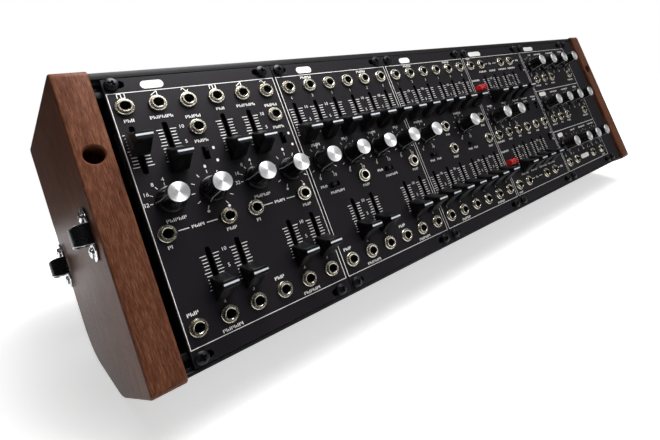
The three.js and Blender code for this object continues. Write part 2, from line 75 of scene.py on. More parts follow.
# %% From rack millimetres to world metres
LEAN = math.radians(30)
COS, SIN = math.cos(LEAN), math.sin(LEAN)
LEAN_BACK = np.array([[1, 0, 0], [0, COS, SIN], [0, -SIN, COS]])
PITCH = 5.08
MODULE, ROW = 16 * PITCH, 84 * PITCH
PANEL_HEIGHT, PANEL_THICKNESS, PANEL_GAP = 128.5, 2, 0.2
MIDDLE_HEIGHT = PANEL_HEIGHT / 2
blank_corner = 1000 * np.array(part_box("blank_panel")[0])
ORIGIN = blank_corner - np.array([5 * MODULE + PANEL_GAP, 0, -PANEL_THICKNESS * SIN])


def to_world(points):
    """World metres: the point turned back about x by the lean, plus the origin, over 1000."""
    return (np.asarray(points, float) @ LEAN_BACK.T + ORIGIN) / 1000


print("row of panels from x", to_world([0, 0, 0])[0], "to", to_world([ROW, 0, 0])[0], "m")

# %% [markdown]
# ## Camera
# The photograph looks at the rack from its left with a wide lens, level and
# from close by. The place, the direction and the focal length of 493 pixels
# come from matching the panel screws and the printed frames to the picture.
# The picture is a crop, so the lens is shifted a little.

# %% The photographed view
PHOTO_WIDTH, PHOTO_HEIGHT, SENSOR = 660, 440, 36
FOCAL, CENTRE_X, CENTRE_Y = 493.4, 424.9, 150.2
EYE = [-60.2, -227.4, 27.8]
EYE_AXES = [[0.68068, -0.63359, -0.36774], [0.19415, -0.32801, 0.92451],
            [-0.70638, -0.70069, -0.10025]]
camera_data = bpy.data.cameras.new("camera")
camera = bpy.data.objects.new("camera", camera_data)
bpy.context.scene.collection.objects.link(camera)
camera_data.sensor_width = SENSOR
camera_data.lens = SENSOR * FOCAL / PHOTO_WIDTH
camera_data.shift_x = (PHOTO_WIDTH / 2 - CENTRE_X) / PHOTO_WIDTH
camera_data.shift_y = (CENTRE_Y - PHOTO_HEIGHT / 2) / PHOTO_WIDTH
camera_data.clip_start, camera_data.clip_end = 0.01, 20
placed = np.eye(4)
placed[:3, :3] = (np.array(EYE_AXES) @ LEAN_BACK.T).T
placed[:3, 3] = to_world(EYE)
camera.matrix_world = Matrix(placed.tolist())
bpy.context.scene.camera = camera
print("lens", round(camera_data.lens, 1), "mm")

# %% [markdown]
# ## Small tools for materials
# A colour is picked as an sRGB hex value, the way a screen shows it, and one
# function turns it to the linear value that light needs. Another adds a node
# with its settings and links. Patterns are measured in millimetres, so a third
# turns Object coordinates into rack millimetres. No real surface is even, so
# most finishes let one noise lead their colour, roughness and height.


# %% Colour, nodes, coordinates and finishes
def linear(colour):
    """Linear light of a hex colour: c/12.92 up to 0.04045, else ((c+0.055)/1.055) to the 2.4."""
    srgb = np.array([int(colour[i:i + 2], 16) for i in (1, 3, 5)]) / 255
    light = np.where(srgb <= 0.04045, srgb / 12.92, ((srgb + 0.055) / 1.055) ** 2.4)
    return (*light.tolist(), 1.0)


def add(tree, kind, inputs=None, **settings):
    """One node: settings are its own, inputs gives each socket a value or another's output."""
    made = tree.nodes.new("ShaderNode" + kind)
    for name, value in settings.items():
        setattr(made, name, value)
    for socket, value in (inputs or {}).items():
        if isinstance(value, bpy.types.NodeSocket):
            tree.links.new(value, made.inputs[socket])
        else:
            made.inputs[socket].default_value = value
    return made


def combine(tree, operation, a, b):
    """The output of a Math node on two values."""
    return add(tree, "Math", {0: a, 1: b}, operation=operation).outputs[0]


def rescale(tree, value, low, high, to_low=0.0, to_high=1.0):
    """A value carried from low...high to to_low...to_high, and held between them."""
    sockets = {"Value": value, 1: low, 2: high, 3: to_low, 4: to_high}
    return add(tree, "MapRange", sockets).outputs[0]


def ramp(tree, value, *stops):
    """The colour at a value between (place, hex colour) stops, mixed by distance."""
    made = add(tree, "ValToRGB", {"Fac": value})
    elements = made.color_ramp.elements
    for _ in stops[2:]:
        elements.new(0.5)
    for element, (place, colour) in zip(elements, stops):
        element.position, element.color = place, linear(colour)
    return made.outputs[0]


def rack_vector(tree, stretch=(1, 1, 1)):
    """Object coordinates as rack millimetres: scaled, turned forward, shifted, stretched."""
    coordinate = add(tree, "TexCoord")
    start = (-LEAN_BACK.T @ ORIGIN).tolist()
    flat = add(tree, "Mapping", {"Vector": coordinate.outputs["Object"], "Location": start,
                                 "Rotation": (LEAN, 0, 0), "Scale": (1000, 1000, 1000)})
    return add(tree, "Mapping", {"Vector": flat.outputs[0], "Scale": stretch}).outputs[0]


def material(name, **sockets):
    """A new material; each keyword sets one socket of its Principled shader."""
    made = bpy.data.materials.new(name)
    made.use_nodes = True
    shader = made.node_tree.nodes["Principled BSDF"]
    for socket, value in sockets.items():
        title = socket.replace("_", " ").title().replace("Ior", "IOR")
        shader.inputs[title].default_value = linear(value) if isinstance(value, str) else value
    return made, made.node_tree, shader


NOISE_LOW, NOISE_HIGH = 0.3, 0.7


def finish(name, scale, rough, shades=None, bump=None, stretch=(1, 1, 1), **sockets):
    """A material with noise of a scale per mm, led to roughness, shades and a bump in mm."""
    made, tree, shader = material(name, **sockets)
    noise = add(tree, "TexNoise", {"Vector": rack_vector(tree, stretch), "Scale": scale,
                                   "Detail": 3.0}).outputs[0]
    if shades:
        shaded = ramp(tree, noise, (NOISE_LOW, shades[0]), (NOISE_HIGH, shades[1]))
        tree.links.new(shaded, shader.inputs["Base Color"])
    spread = rescale(tree, noise, NOISE_LOW, NOISE_HIGH, *rough)
    tree.links.new(spread, shader.inputs["Roughness"])
    if bump:
        raised = add(tree, "Bump", {"Height": noise, "Distance": bump / 1000})
        tree.links.new(raised.outputs[0], shader.inputs["Normal"])
    return made


# %% [markdown]
# ## Stage and light
# A product photographer stands the rack on a white table and lights it with
# soft boxes. The room is white behind the table to the right, and grey on the
# photographer's side. The table catches the shadow, and ends a little behind
# the rack, so that the end cheek mirrors white table low down and the grey
# room above it. The camera sees white wherever it looks past the rack.

# %% Floor, world and lamps
scene = bpy.context.scene
scene.view_settings.view_transform = "Standard"
GREY_ROOM, WHITE = linear("#39393b"), linear("#ffffff")


def seen_directly(tree):
    """One for camera, glossy and transmitted rays: the largest of the three flags."""
    path = add(tree, "LightPath").outputs
    pair = combine(tree, "MAXIMUM", path["Is Camera Ray"], path["Is Glossy Ray"])
    return combine(tree, "MAXIMUM", pair, path["Is Transmission Ray"])


world = bpy.data.worlds.new("studio")
world.use_nodes = True
scene.world = world
tree = world.node_tree
backdrop = tree.nodes["Background"]
direction = add(tree, "SeparateXYZ", {0: add(tree, "TexCoord").outputs["Generated"]}).outputs
rightwards = rescale(tree, direction["X"], -0.1, 0.2)
backwards = rescale(tree, direction["Y"], -0.3, 0.3)
sweep = combine(tree, "MULTIPLY", rightwards, backwards)
behind = combine(tree, "MAXIMUM", sweep, add(tree, "LightPath").outputs["Is Camera Ray"])
room = add(tree, "Mix", {0: behind, 6: GREY_ROOM, 7: WHITE}, data_type="RGBA")
tree.links.new(room.outputs[2], backdrop.inputs["Color"])
tree.links.new(rescale(tree, seen_directly(tree), 0, 1, 0.4, 1.0), backdrop.inputs["Strength"])

TABLE_LEFT, TABLE_RIGHT, TABLE_FRONT, TABLE_BACK = -0.8, 1.5, -1.5, 0.22
floor_mesh = bpy.data.meshes.new("floor")
floor_mesh.from_pydata([(TABLE_LEFT, TABLE_FRONT, 0), (TABLE_RIGHT, TABLE_FRONT, 0),
                        (TABLE_RIGHT, TABLE_BACK, 0), (TABLE_LEFT, TABLE_BACK, 0)],
                       [], [(0, 1, 2, 3)])
floor = bpy.data.objects.new("floor", floor_mesh)
scene.collection.objects.link(floor)
floor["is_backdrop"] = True
floor_paint, tree, shader = material("matt_white_paper", base_color="#f2f2f2", roughness=0.9)
distance = add(tree, "VectorMath", {0: add(tree, "TexCoord").outputs["Object"]},
               operation="LENGTH").outputs["Value"]
reach = rescale(tree, distance, 0.35, 1.0, 0.6, 1.0)
shader.inputs["Emission Color"].default_value = WHITE
tree.links.new(combine(tree, "MULTIPLY", seen_directly(tree), reach),
               shader.inputs["Emission Strength"])
floor_mesh.materials.append(floor_paint)


def lamp(name, at, towards, size, power):
    """A square area lamp at a place in metres, turned to face another."""
    data = bpy.data.lights.new(name, "AREA")
    data.size, data.energy = size, power
    made = bpy.data.objects.new(name, data)
    scene.collection.objects.link(made)
    made.location, made.visible_camera = at, False
    made.rotation_euler = (Vector(at) - Vector(towards)).to_track_quat("Z", "Y").to_euler()


lamp("soft_box_top", (0.2, -0.15, 1.15), (0, 0, 0.05), 0.9, 11)
lamp("soft_box_right", (0.9, -1.0, 0.9), (0.05, 0, 0.05), 0.6, 2.5)
lamp("soft_box_near", (-0.13, 0.0, 0.31), (-0.2, -0.02, 0.1), 0.14, 0.85)

# %% [markdown]
# ## Surfaces from whole arrays
# Each shape is a stack of rings, computed at once with numpy. A surface is
# kept as three arrays: points, the corners of its faces, and how many corners
# each face has. That makes it cheap to copy one jack seventy times and to put
# a whole set into one mesh.


# %% Rings, stacks and copies
def by_corner(sizes):
    """For every corner its own index, its face, and the first and last corner of that face."""
    face = np.repeat(np.arange(len(sizes)), sizes)
    start = (np.cumsum(sizes) - sizes)[face]
    return np.arange(len(face)), face, start, start + sizes[face] - 1


def tidy(points, corners, sizes):
    """Merges equal points, and turns the faces outwards if the signed volume is below zero."""
    _, first, which = np.unique(np.round(points, 4), axis=0, return_index=True,
                                return_inverse=True)
    corners = which.reshape(-1)[corners]
    here, face, start, last = by_corner(sizes)
    keep = corners != corners[np.where(here == last, start, here + 1)]
    corners, face = corners[keep], face[keep]
    sizes = np.bincount(face, minlength=len(sizes))
    real = sizes > 2
    corners, sizes, points = corners[real[face]], sizes[real], points[first]
    here, _, start, last = by_corner(sizes)
    inside = (here > start) & (here < last)
    a, b, c = (points[corners[i[inside]]] for i in (start, here, np.minimum(here + 1, last)))
    if np.einsum("ij,ij->i", np.cross(a, b), c).sum() < 0:
        corners = corners[start + last - here]
    return points, corners, sizes


def stack(rings, closed=False):
    """Quads between each ring and the next. Both ends get a face, or join up when closed."""
    rings = np.asarray(rings, float)
    count, size = rings.shape[:2]
    ring = np.arange(count if closed else count - 1)[:, None]
    step = np.arange(size)[None]
    follow, after = (step + 1) % size, (ring + 1) % count
    quads = np.stack([ring * size + step, ring * size + follow, after * size + follow,
                      after * size + step], -1).reshape(-1)
    sizes = np.full(len(quads) // 4, 4)
    if not closed:
        quads = np.concatenate([quads, step[0][::-1], step[0] + (count - 1) * size])
        sizes = np.concatenate([sizes, [size, size]])
    return tidy(rings.reshape(-1, 3), quads, sizes)


def ring(width, height=None, radius=None, steps=4):
    """A rectangle with corners rounded to quarter circles; a circle when only width is given."""
    height = width if height is None else height
    radius = min(width, height) / 2 if radius is None else radius
    quarter = np.arange(4)[:, None]
    turn = (quarter + (np.arange(steps) + 0.5) / steps) * math.pi / 2
    side = np.array([[1, 1], [-1, 1], [-1, -1], [1, -1]])[:, None]
    centre = side * (np.array([width, height]) / 2 - radius)
    full = radius > 0.99 * min(width, height) / 2
    grow = radius / math.cos(math.pi / 4 / steps) if full else radius
    return (centre + grow * np.stack([np.cos(turn), np.sin(turn)], -1)).reshape(-1, 2)


def moulding(sections, steps=3):
    """Rounded rectangles [width, height, corner radius, depth y], stacked along y."""
    return stack([np.insert(ring(w, h, r, steps), 1, y, 1) for w, h, r, y in sections])


def block(width, height, radius, y0, y1, steps=3):
    """One rounded rectangle carried from depth y0 to y1."""
    return moulding([(width, height, radius, y) for y in (y0, y1)], steps)


def turned(profile, sides, closed=False):
    """A [radius, depth] profile turned about y: x = r cos t, z = r sin t. Closed makes a ring."""
    t = (np.arange(sides) + 0.5) * 2 * math.pi / sides
    r, y = np.asarray(profile, float).T
    y = np.repeat(y[:, None], sides, 1)
    return stack(np.stack([r[:, None] * np.cos(t), y, r[:, None] * np.sin(t)], -1), closed)


def inset(outline, by):
    """An outline drawn in: each corner moves along the sum of its two edge normals."""
    edge = np.roll(outline, -1, 0) - outline
    normal = np.stack([-edge[:, 1], edge[:, 0]], -1) / np.linalg.norm(edge, axis=1, keepdims=True)
    x, z = outline.T
    area = np.sum(x * np.roll(z, -1) - np.roll(x, -1) * z)
    before = np.roll(normal, 1, 0)
    lean = 1 + np.sum(normal * before, 1, keepdims=True)
    return outline + math.copysign(by, area) * (normal + before) / lean


def carried(outline, x0, x1, edge, steps):
    """A [y, z] outline carried along x, its ends rounded by a quarter circle of radius edge."""
    turn = np.linspace(math.pi / 2, 0, steps + 1) if edge else np.zeros(1)
    left = list(zip(x0 + edge * (1 - np.sin(turn)), edge * (1 - np.cos(turn))))
    ends = left + [(x0 + x1 - x, by) for x, by in reversed(left)]
    return stack([np.insert(inset(outline, by) if by else outline, 0, x, 1) for x, by in ends])


def rounded(corners, radii, steps=8):
    """Each corner as a curve (1-t)^2 start + 2t(1-t) corner + t^2 end, a radius along each side."""
    corners = np.asarray(corners, float)
    reach = np.broadcast_to(np.asarray(radii, float), len(corners))[:, None]
    before, after = np.roll(corners, 1, 0) - corners, np.roll(corners, -1, 0) - corners
    start = corners + reach * before / np.linalg.norm(before, axis=1, keepdims=True)
    end = corners + reach * after / np.linalg.norm(after, axis=1, keepdims=True)
    t = np.linspace(0, 1, steps + 1)[None, :, None]
    curve = (1 - t) ** 2 * start[:, None] + 2 * t * (1 - t) * corners[:, None]
    return (curve + t ** 2 * end[:, None]).reshape(-1, 2)


def copies(surface, places):
    """The same surface at every [x, y, z] place: points plus place, corners plus a count."""
    points, corners, sizes = surface
    places = np.asarray(places, float).reshape(-1, 3)
    at = (places[:, None] + points[None]).reshape(-1, 3)
    shifted = (np.arange(len(places))[:, None] * len(points) + corners[None]).reshape(-1)
    return at, shifted, np.tile(sizes, len(places))


def moved(surface, at):
    """A surface moved to one place."""
    return surface[0] + np.asarray(at, float), *surface[1:]


def facing_back(surface):
    """A surface turned half round the z axis."""
    return surface[0] * [-1, -1, 1], *surface[1:]


# %% [markdown]
# ## Sheets with holes
# A panel is punched from flat stock. A flat curve filled between its outline
# and its holes makes the same thing, with its edges broken by a small bevel.
# It is turned to a mesh, and then to the three arrays above.


# %% Plates, digits and finished pieces
SHARP = math.radians(32)


def evaluated(made):
    """The mesh of an object with its modifiers, or of a curve or text, as a new mesh."""
    graph = bpy.context.evaluated_depsgraph_get()
    return bpy.data.meshes.new_from_object(made.evaluated_get(graph))


def read(data, name):
    """A curve or text as points, corners and sizes."""
    source = bpy.data.objects.new(name, data)
    scene.collection.objects.link(source)
    mesh = evaluated(source)
    points = np.zeros(3 * len(mesh.vertices))
    corners = np.zeros(len(mesh.loops), int)
    sizes = np.zeros(len(mesh.polygons), int)
    mesh.vertices.foreach_get("co", points)
    mesh.loops.foreach_get("vertex_index", corners)
    mesh.polygons.foreach_get("loop_total", sizes)
    bpy.data.objects.remove(source)
    bpy.data.meshes.remove(mesh)
    return points.reshape(-1, 3), corners, sizes


def plate(outlines, y0, y1, edge=0.12):
    """Flat stock from y0 to y1: the first outline less the others, its edges broken by edge."""
    curve = bpy.data.curves.new("plate", "CURVE")
    curve.dimensions, curve.fill_mode = "2D", "BOTH"
    curve.extrude, curve.bevel_depth, curve.offset = (y1 - y0) / 2 - edge, edge, -edge
    curve.bevel_resolution = 0
    for outline in outlines:
        spline = curve.splines.new("POLY")
        spline.points.add(len(outline) - 1)
        flat = np.insert(np.insert(outline, 2, 0, 1), 3, 1, 1)
        spline.points.foreach_set("co", flat.ravel())
        spline.use_cyclic_u = True
    points, corners, sizes = read(curve, "plate")
    bpy.data.curves.remove(curve)
    x, z, y = points.T
    return tidy(np.stack([x, (y0 + y1) / 2 - y, z], -1), corners, sizes)


def turn_map(mesh, points, corners, sizes, axis):
    """A UV map about an [x, z] axis: turns round it, unbroken within each face, and cm from it."""
    at = points[corners][:, [0, 2]] - np.asarray(axis)
    face = by_corner(sizes)[1]
    centre = np.stack([np.bincount(face, at[:, i]) / sizes for i in (0, 1)], -1)[face]
    middle = np.arctan2(centre[:, 1], centre[:, 0])
    swing = np.arctan2(at[:, 1], at[:, 0]) - middle
    swing = np.where(np.hypot(*at.T) < 1e-3, 0, (swing + math.pi) % (2 * math.pi) - math.pi)
    uv = np.stack([(middle + swing) / (2 * math.pi), np.hypot(*at.T) / 10], -1)
    mesh.uv_layers.new(name="turn").data.foreach_set("uv", uv.ravel())


def mesh_of(name, parts, axis=None):
    """One mesh from (surface, material) parts, with a turn map where an axis is given."""
    materials = list(dict.fromkeys(paint for _, paint in parts))
    counts = [len(surface[0]) for surface, _ in parts]
    offsets = np.cumsum(counts) - counts
    points = np.concatenate([surface[0] for surface, _ in parts])
    corners = np.concatenate([surface[1] + offset for (surface, _), offset in zip(parts, offsets)])
    sizes = np.concatenate([surface[2] for surface, _ in parts])
    paints = np.concatenate([np.full(len(surface[2]), materials.index(paint))
                             for surface, paint in parts])
    mesh = bpy.data.meshes.new(name)
    mesh.vertices.add(len(points))
    mesh.vertices.foreach_set("co", to_world(points).ravel())
    mesh.loops.add(len(corners))
    mesh.loops.foreach_set("vertex_index", corners.astype(np.int32))
    mesh.polygons.add(len(sizes))
    mesh.polygons.foreach_set("loop_start", (np.cumsum(sizes) - sizes).astype(np.int32))
    mesh.polygons.foreach_set("material_index", paints.astype(np.int32))
    mesh.update(calc_edges=True)
    mesh.validate()
    if axis is not None:
        turn_map(mesh, points, corners, sizes, axis)
    mesh.shade_smooth()
    mesh.set_sharp_from_angle(angle=SHARP)
    for paint in materials:
        mesh.materials.append(paint)
    return mesh


def piece(name, parts, body="root", nodes=(), axis=None):
    """One finished object from (surface, material) parts, riding on a body, standing for nodes."""
    made = bpy.data.objects.new(name, mesh_of(name, parts, axis))
    scene.collection.objects.link(made)
    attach(made, body)
    if nodes:
        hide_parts(*nodes)
    print(f"{name}: {len(made.data.vertices)} points, {len(made.data.polygons)} faces")
    return made


def bore(made, surface):
    """Cuts a surface out of a piece with an exact boolean and keeps the result as its mesh."""
    cutter = bpy.data.objects.new("cutter", mesh_of("cutter", [(surface, made.data.materials[0])]))
    scene.collection.objects.link(cutter)
    cut = made.modifiers.new("bore", "BOOLEAN")
    cut.object, cut.solver, cut.operation = cutter, "EXACT", "DIFFERENCE"
    kept = evaluated(made)
    made.modifiers.clear()
    made.data = kept
    kept.set_sharp_from_angle(angle=SHARP)
    bpy.data.objects.remove(cutter)


# %% [markdown]
# ## Wooden cheeks
# The cheeks are solid hardwood with open pores, sawn and routed, then sprayed
# with a satin lacquer. The grain runs up the cheek, so the noise is stretched
# along z: broad bands a few millimetres wide, fibres half a millimetre wide,
# and short dark pores. The lacquer mirrors little, so the shader's specular
# level is low.

# %% Lacquered hardwood
hardwood, tree, shader = material("lacquered_hardwood", roughness=0.38, ior=1.5,
                                  specular_ior_level=0.08)
broad, fibre, pores = (
    add(tree, "TexNoise", {"Vector": rack_vector(tree, (across, across, along)), "Scale": 1.0,
                           "Detail": detail, "Distortion": waves}).outputs[0]
    for across, along, detail, waves in (
        (0.22, 0.03, 4.0, 1.0), (2.2, 0.24, 6.0, 0.0), (3.5, 0.5, 2.0, 0.0)))
weave = add(tree, "Mix", {0: 0.68, 2: broad, 3: fibre}, data_type="FLOAT").outputs[0]
tone = ramp(tree, weave, (0.33, "#492a1c"), (0.5, "#633c2b"), (0.67, "#7d523d"))
depth = rescale(tree, pores, 0.58, 0.70, 0.0, 0.6)
stained = add(tree, "Mix", {0: depth, 6: tone, 7: linear("#331d17")}, data_type="RGBA")
tree.links.new(stained.outputs[2], shader.inputs["Base Color"])
open_grain = add(tree, "Bump", {"Height": depth, "Distance": 0.00006}, invert=True)
tree.links.new(open_grain.outputs[0], shader.inputs["Normal"])

# %% [markdown]
# A cheek is its end outline carried across 14 mm. The outline's corners are
# eased with quadratic curves, and its long edges are rounded by less than a
# millimetre. The front edge has one drilled hole with a broken rim, which a
# boolean cuts, as the drill did.

# %% Both cheeks
CASE_TOP, CASE_BOTTOM, CASE_BACK, SLOPE_RISE = 133, -3.4, 93.5, 23.8
CHEEK_WIDTH, CHEEK_GAP, CHEEK_FRONT, DRILL_HEIGHT = 14, 3.4, -1.5, 95.6


def case_corners(inward, front):
    """The end outline drawn in: top front, top back, knee, toe and bottom front, as [y, z]."""
    top, bottom, back = CASE_TOP - inward, CASE_BOTTOM + inward, CASE_BACK - inward
    toe = CASE_BACK - SLOPE_RISE / math.tan(LEAN) - inward * math.tan(LEAN / 2)
    knee = CASE_BOTTOM + SLOPE_RISE + inward * (1 / COS - math.tan(LEAN))
    return [[front, top], [back, top], [back, knee], [toe, bottom], [front, bottom]]


cheek_outline = rounded(case_corners(0, CHEEK_FRONT), [3, 3, 16, 6, 3])
drill = turned([[0, -4], [5.2, -4], [4.6, -1.5], [4.0, -0.9], [4.0, 10.5], [0, 11.6]], 40)
for side, x0 in (("left", -CHEEK_GAP - CHEEK_WIDTH), ("right", ROW + CHEEK_GAP)):
    solid = carried(cheek_outline, x0, x0 + CHEEK_WIDTH, 0.9, 4)
    cheek = piece(f"wood_cheek_{side}", [(solid, hardwood)],
                  nodes=[f"cheek_{side}"])
    bore(cheek, moved(drill, (x0 + CHEEK_WIDTH / 2, 0, DRILL_HEIGHT)))

# %% [markdown]
# ## Rails, strips and panel screws
# The rails are extruded aluminium, anodised black. The die leaves faint lines
# along them. A threaded steel strip sits in each rail's T-slot, and screws
# with domed black heads go through the panels into it.

# %% Metals of the rack
rail_metal = finish("black_anodised_extrusion", 1.0, (0.3, 0.48), bump=0.02,
                    stretch=(0.01, 2.5, 2.5), base_color="#141416", metallic=0.5, roughness=0.38)
zinc = finish("zinc_plated_steel", 0.8, (0.28, 0.45), ("#a2a5aa", "#c8cbce"),
              base_color="#b9bcc0", metallic=1.0, roughness=0.35)
oxide = finish("black_oxide_steel", 1.5, (0.26, 0.42), ("#121214", "#222226"),
               base_color="#19191b", metallic=0.7, roughness=0.34)
nickel = finish("nickel_plated_brass", 1.2, (0.17, 0.28), ("#c8c3b5", "#dcd7cb"),
                base_color="#d2cdc0", metallic=1.0, roughness=0.22)

# %% Rails and strips
CASE_END = 3.1


def along_row(outline, edge, steps):
    """A [y, z] outline carried along the whole row and a little past both of its ends."""
    return carried(outline, -CASE_END, ROW + CASE_END, edge, steps)


def rail_section(top):
    """The top rail's section as [y, z] up to a height: lip, back, and T-slot for the strip."""
    return rounded([[0.4, 128.9], [0.4, top], [12.3, top], [12.3, 121], [2.3, 121], [2.3, 123.8],
                    [3.8, 123.8], [3.8, 122.7], [7, 122.7], [7, 128.3], [3.8, 128.3],
                    [3.8, 127.2], [2.3, 127.2], [2.3, 128.9]],
                   [0.3, 0.6, 0.5, 0.5, 0.3] + [0.2] * 9, 3)


strip_section = rounded([[4.1, 123], [4.1, 128], [6.7, 128], [6.7, 123]], 0.3, 2)
for side, mirrored, top in (("top", False, 132.1), ("bottom", True, 130.5)):
    rail, strip = (outline * [1, -1] + [0, PANEL_HEIGHT] if mirrored else outline
                   for outline in (rail_section(top), strip_section))
    piece(f"rail_extrusion_{side}", [(along_row(rail, 0.15, 1), rail_metal)],
          nodes=[f"rail_{side}"])
    piece(f"threaded_strip_{side}", [(along_row(strip, 0.2, 1), oxide)],
          nodes=[f"screw_strip_{side}"])

# %% Cross-recessed screws
SCREW_INSET, SCREW_SPAN, SCREW_EDGE = 3.75, 14 * PITCH, 3
SCREW_ROWS = (SCREW_EDGE, PANEL_HEIGHT - SCREW_EDGE)


def screw_head(radius, height, turn):
    """A domed head: height falls as the square root of 1 - (0.75 r/R)^2, less a cross pit."""
    r = np.concatenate([np.linspace(0, 0.62, 12), [0.72, 0.85, 0.95, 1.0]]) * radius
    t = np.arange(48) * 2 * math.pi / 48
    u, w = r[:, None] * np.cos(t), r[:, None] * np.sin(t)
    dome = height * np.sqrt(1 - (0.75 * r / radius) ** 2)[:, None] + 0 * u
    across = np.minimum(abs(u), abs(w)) / radius
    along = np.maximum(abs(u), abs(w)) / radius
    pit = np.clip((0.17 - across) / 0.05, 0, 1) * np.clip((0.56 - along) / 0.16, 0, 1)
    c, s = math.cos(turn), math.sin(turn)
    rings = np.stack([c * u - s * w, 0.55 * height * pit - dome, s * u + c * w], -1)
    foot = rings[-1] * [1, 0, 1]
    return stack(np.concatenate([rings, foot[None]]))


screw_xs = [m * MODULE + x for m in range(5) for x in (SCREW_INSET, SCREW_INSET + SCREW_SPAN)]
screw_xs.append(5 * MODULE + SCREW_INSET)
screw_places = np.array([[x, -0.02, z] for x in screw_xs for z in SCREW_ROWS])
shank = turned([[0, 0], [1.4, 0], [1.4, 5], [0, 5.6]], 12)
heads = [(copies(screw_head(2.8, 2.2, turn), screw_places[i::4]), oxide)
         for i, turn in enumerate((0.3, 1.1, 0.75, 1.45))]
piece("panel_screws", heads + [(copies(shank, screw_places), oxide)])

# %% [markdown]
# ## Rear cover, supply inlet and power board
# A folded steel sheet closes the back. It is powder coated, which leaves a
# fine orange-peel surface. The folds have a small radius, so its cross section
# is carried along the rack with rounded corners. The inlet and the power
# board's standoffs are fixed through it.

# %% Rear cover
COVER_OUTSIDE, COVER_INSIDE, COVER_HEM = 1.5, 3.0, 8
HEM_FRONT, HEM_BACK = 12.6, 14.1
INLET = (40, 0, MIDDLE_HEIGHT)
POWER_X, POWER_Z, POWER_LENGTH, POWER_WIDTH = ROW / 2, 70.675, 298.72, 60
powder = finish("black_powder_coat", 1.6, (0.42, 0.6), ("#171719", "#202023"), 0.05,
                base_color="#1b1b1d", roughness=0.5)
outer, inner = case_corners(COVER_OUTSIDE, HEM_FRONT), case_corners(COVER_INSIDE, HEM_BACK)
high, low = outer[0][1] - COVER_HEM, outer[4][1] + COVER_HEM
fold = [[HEM_FRONT, high], *outer, [HEM_FRONT, low], [HEM_BACK, low], *inner[::-1],
        [HEM_BACK, high]]
fold_radii = [0.3] + [2.2] * 5 + [0.3, 0.3] + [0.8] * 5 + [0.3]
cover = piece("folded_rear_cover", [(along_row(rounded(fold, fold_radii, 5), 0.2, 1), powder)],
              nodes=["rear_cover"])
bore(cover, moved(turned([[0, 86], [4.5, 86], [4.5, 96], [0, 96]], 40), INLET))
post_x, post_z = POWER_LENGTH / 2 - 6, POWER_WIDTH / 2 - 6
standoffs = np.array([[POWER_X + sx * post_x, 0, POWER_Z + sz * post_z]
                      for sx in (-1, 1) for sz in (-1, 1)])
back_head = facing_back(screw_head(2.6, 1.3, 0.6))
piece("cover_screws", [(copies(back_head, standoffs + [0, 92, 0]), oxide)])

# %% Supply inlet
moulded = finish("moulded_black_nylon", 2.2, (0.42, 0.58), ("#131315", "#1c1c1f"), 0.015,
                 base_color="#161618", roughness=0.5, ior=1.5)
socket = moulding([(11, 11, 1, 78.2), (11, 11, 1, 90.2), (8.4, 8.4, 4.2, 90.2),
                   (8.4, 8.4, 4.2, 92.0), (8, 8, 4, 92.25), (6.6, 6.6, 3.3, 92.25),
                   (6.2, 6.2, 3.1, 92.05), (6.2, 6.2, 3.1, 83.3)], 6)
pin = moulding([(2, 2, 1, 82.6), (2, 2, 1, 90.6), (1.4, 1.4, 0.7, 91)], 6)
piece("inlet_socket", [(moved(socket, INLET), moulded), (moved(pin, INLET), nickel)],
      nodes=["supply_inlet"])

# %% [markdown]
# ## Circuit boards
# The boards are glass-epoxy laminate under a black solder mask. Copper tracks
# show through it as slightly lighter lines, about three millimetres apart.
# Sockets, rotary controls, slide controls and headers stand on them.

# %% Laminate and parts
laminate, tree, shader = material("glass_epoxy_laminate", roughness=0.42, coat_weight=0.25,
                                  ior=1.5)
tracks = add(tree, "TexVoronoi", {"Vector": rack_vector(tree), "Scale": 0.35},
             distance="MANHATTAN").outputs[0]
copper = ramp(tree, tracks, (0.42, "#0c1210"), (0.5, "#19211d"))
tree.links.new(copper, shader.inputs["Base Color"])
gold = finish("gold_flashed_pins", 2.0, (0.2, 0.34), ("#cfa64a", "#e2c172"),
              base_color="#d9b45c", metallic=1.0, roughness=0.25)

# A shrouded plug that faces -y from y = 0: an open box, and two rows of pins.
shroud = moulding([(20, 8, 0.4, 0), (20, 8, 0.4, -9), (18, 6, 0.4, -9), (18, 6, 0.4, -1.5)], 4)
one_pin = moulding([(0.64, 0.64, 0.12, -1), (0.64, 0.64, 0.12, -7.4), (0.3, 0.3, 0.1, -8)], 1)
pins = copies(one_pin, [[(i - 3.5) * 2.2, 0, j] for i in range(8) for j in (-1.27, 1.27)])

# %% Power board
HEADER_STEP, CAN_Z = POWER_LENGTH / 5, 88
left, right = POWER_X - POWER_LENGTH / 2, POWER_X + POWER_LENGTH / 2
low, high = POWER_Z - POWER_WIDTH / 2, POWER_Z + POWER_WIDTH / 2
power_outline = rounded([[left, low], [right, low], [right, high], [left, high]], 2, 4)
headers = [[POWER_X + (m - 2) * HEADER_STEP, 82.7, POWER_Z] for m in range(5)]
cans = [[POWER_X + (m - 1.5) * HEADER_STEP, 0, CAN_Z] for m in range(4)]
post = block(6, 6, 3, 83.4, 90.2, 2)
can = turned([[0, 82.7], [4, 82.7], [4, 72.2], [3.7, 71.4], [3.5, 71.4], [3.3, 71.7],
              [0, 71.7]], 24)
piece("power_board_assembly", [
    (plate([power_outline], 82.6, 84.2, 0.1), laminate), (copies(shroud, headers), moulded),
    (copies(pins, headers), gold), (copies(post, standoffs), nickel), (copies(can, cans), oxide)],
      nodes=["power_board"])

# %% [markdown]
# ## Strap loops
# Each cheek carries two loops for a strap: a pressed plate with a waist and
# blunt points, chromium plated, a bridge bent over its waist, and a domed
# screw at each end. The bridge is an arch carried along the cheek. It is
# lacquered black, and its two ends are left bright.

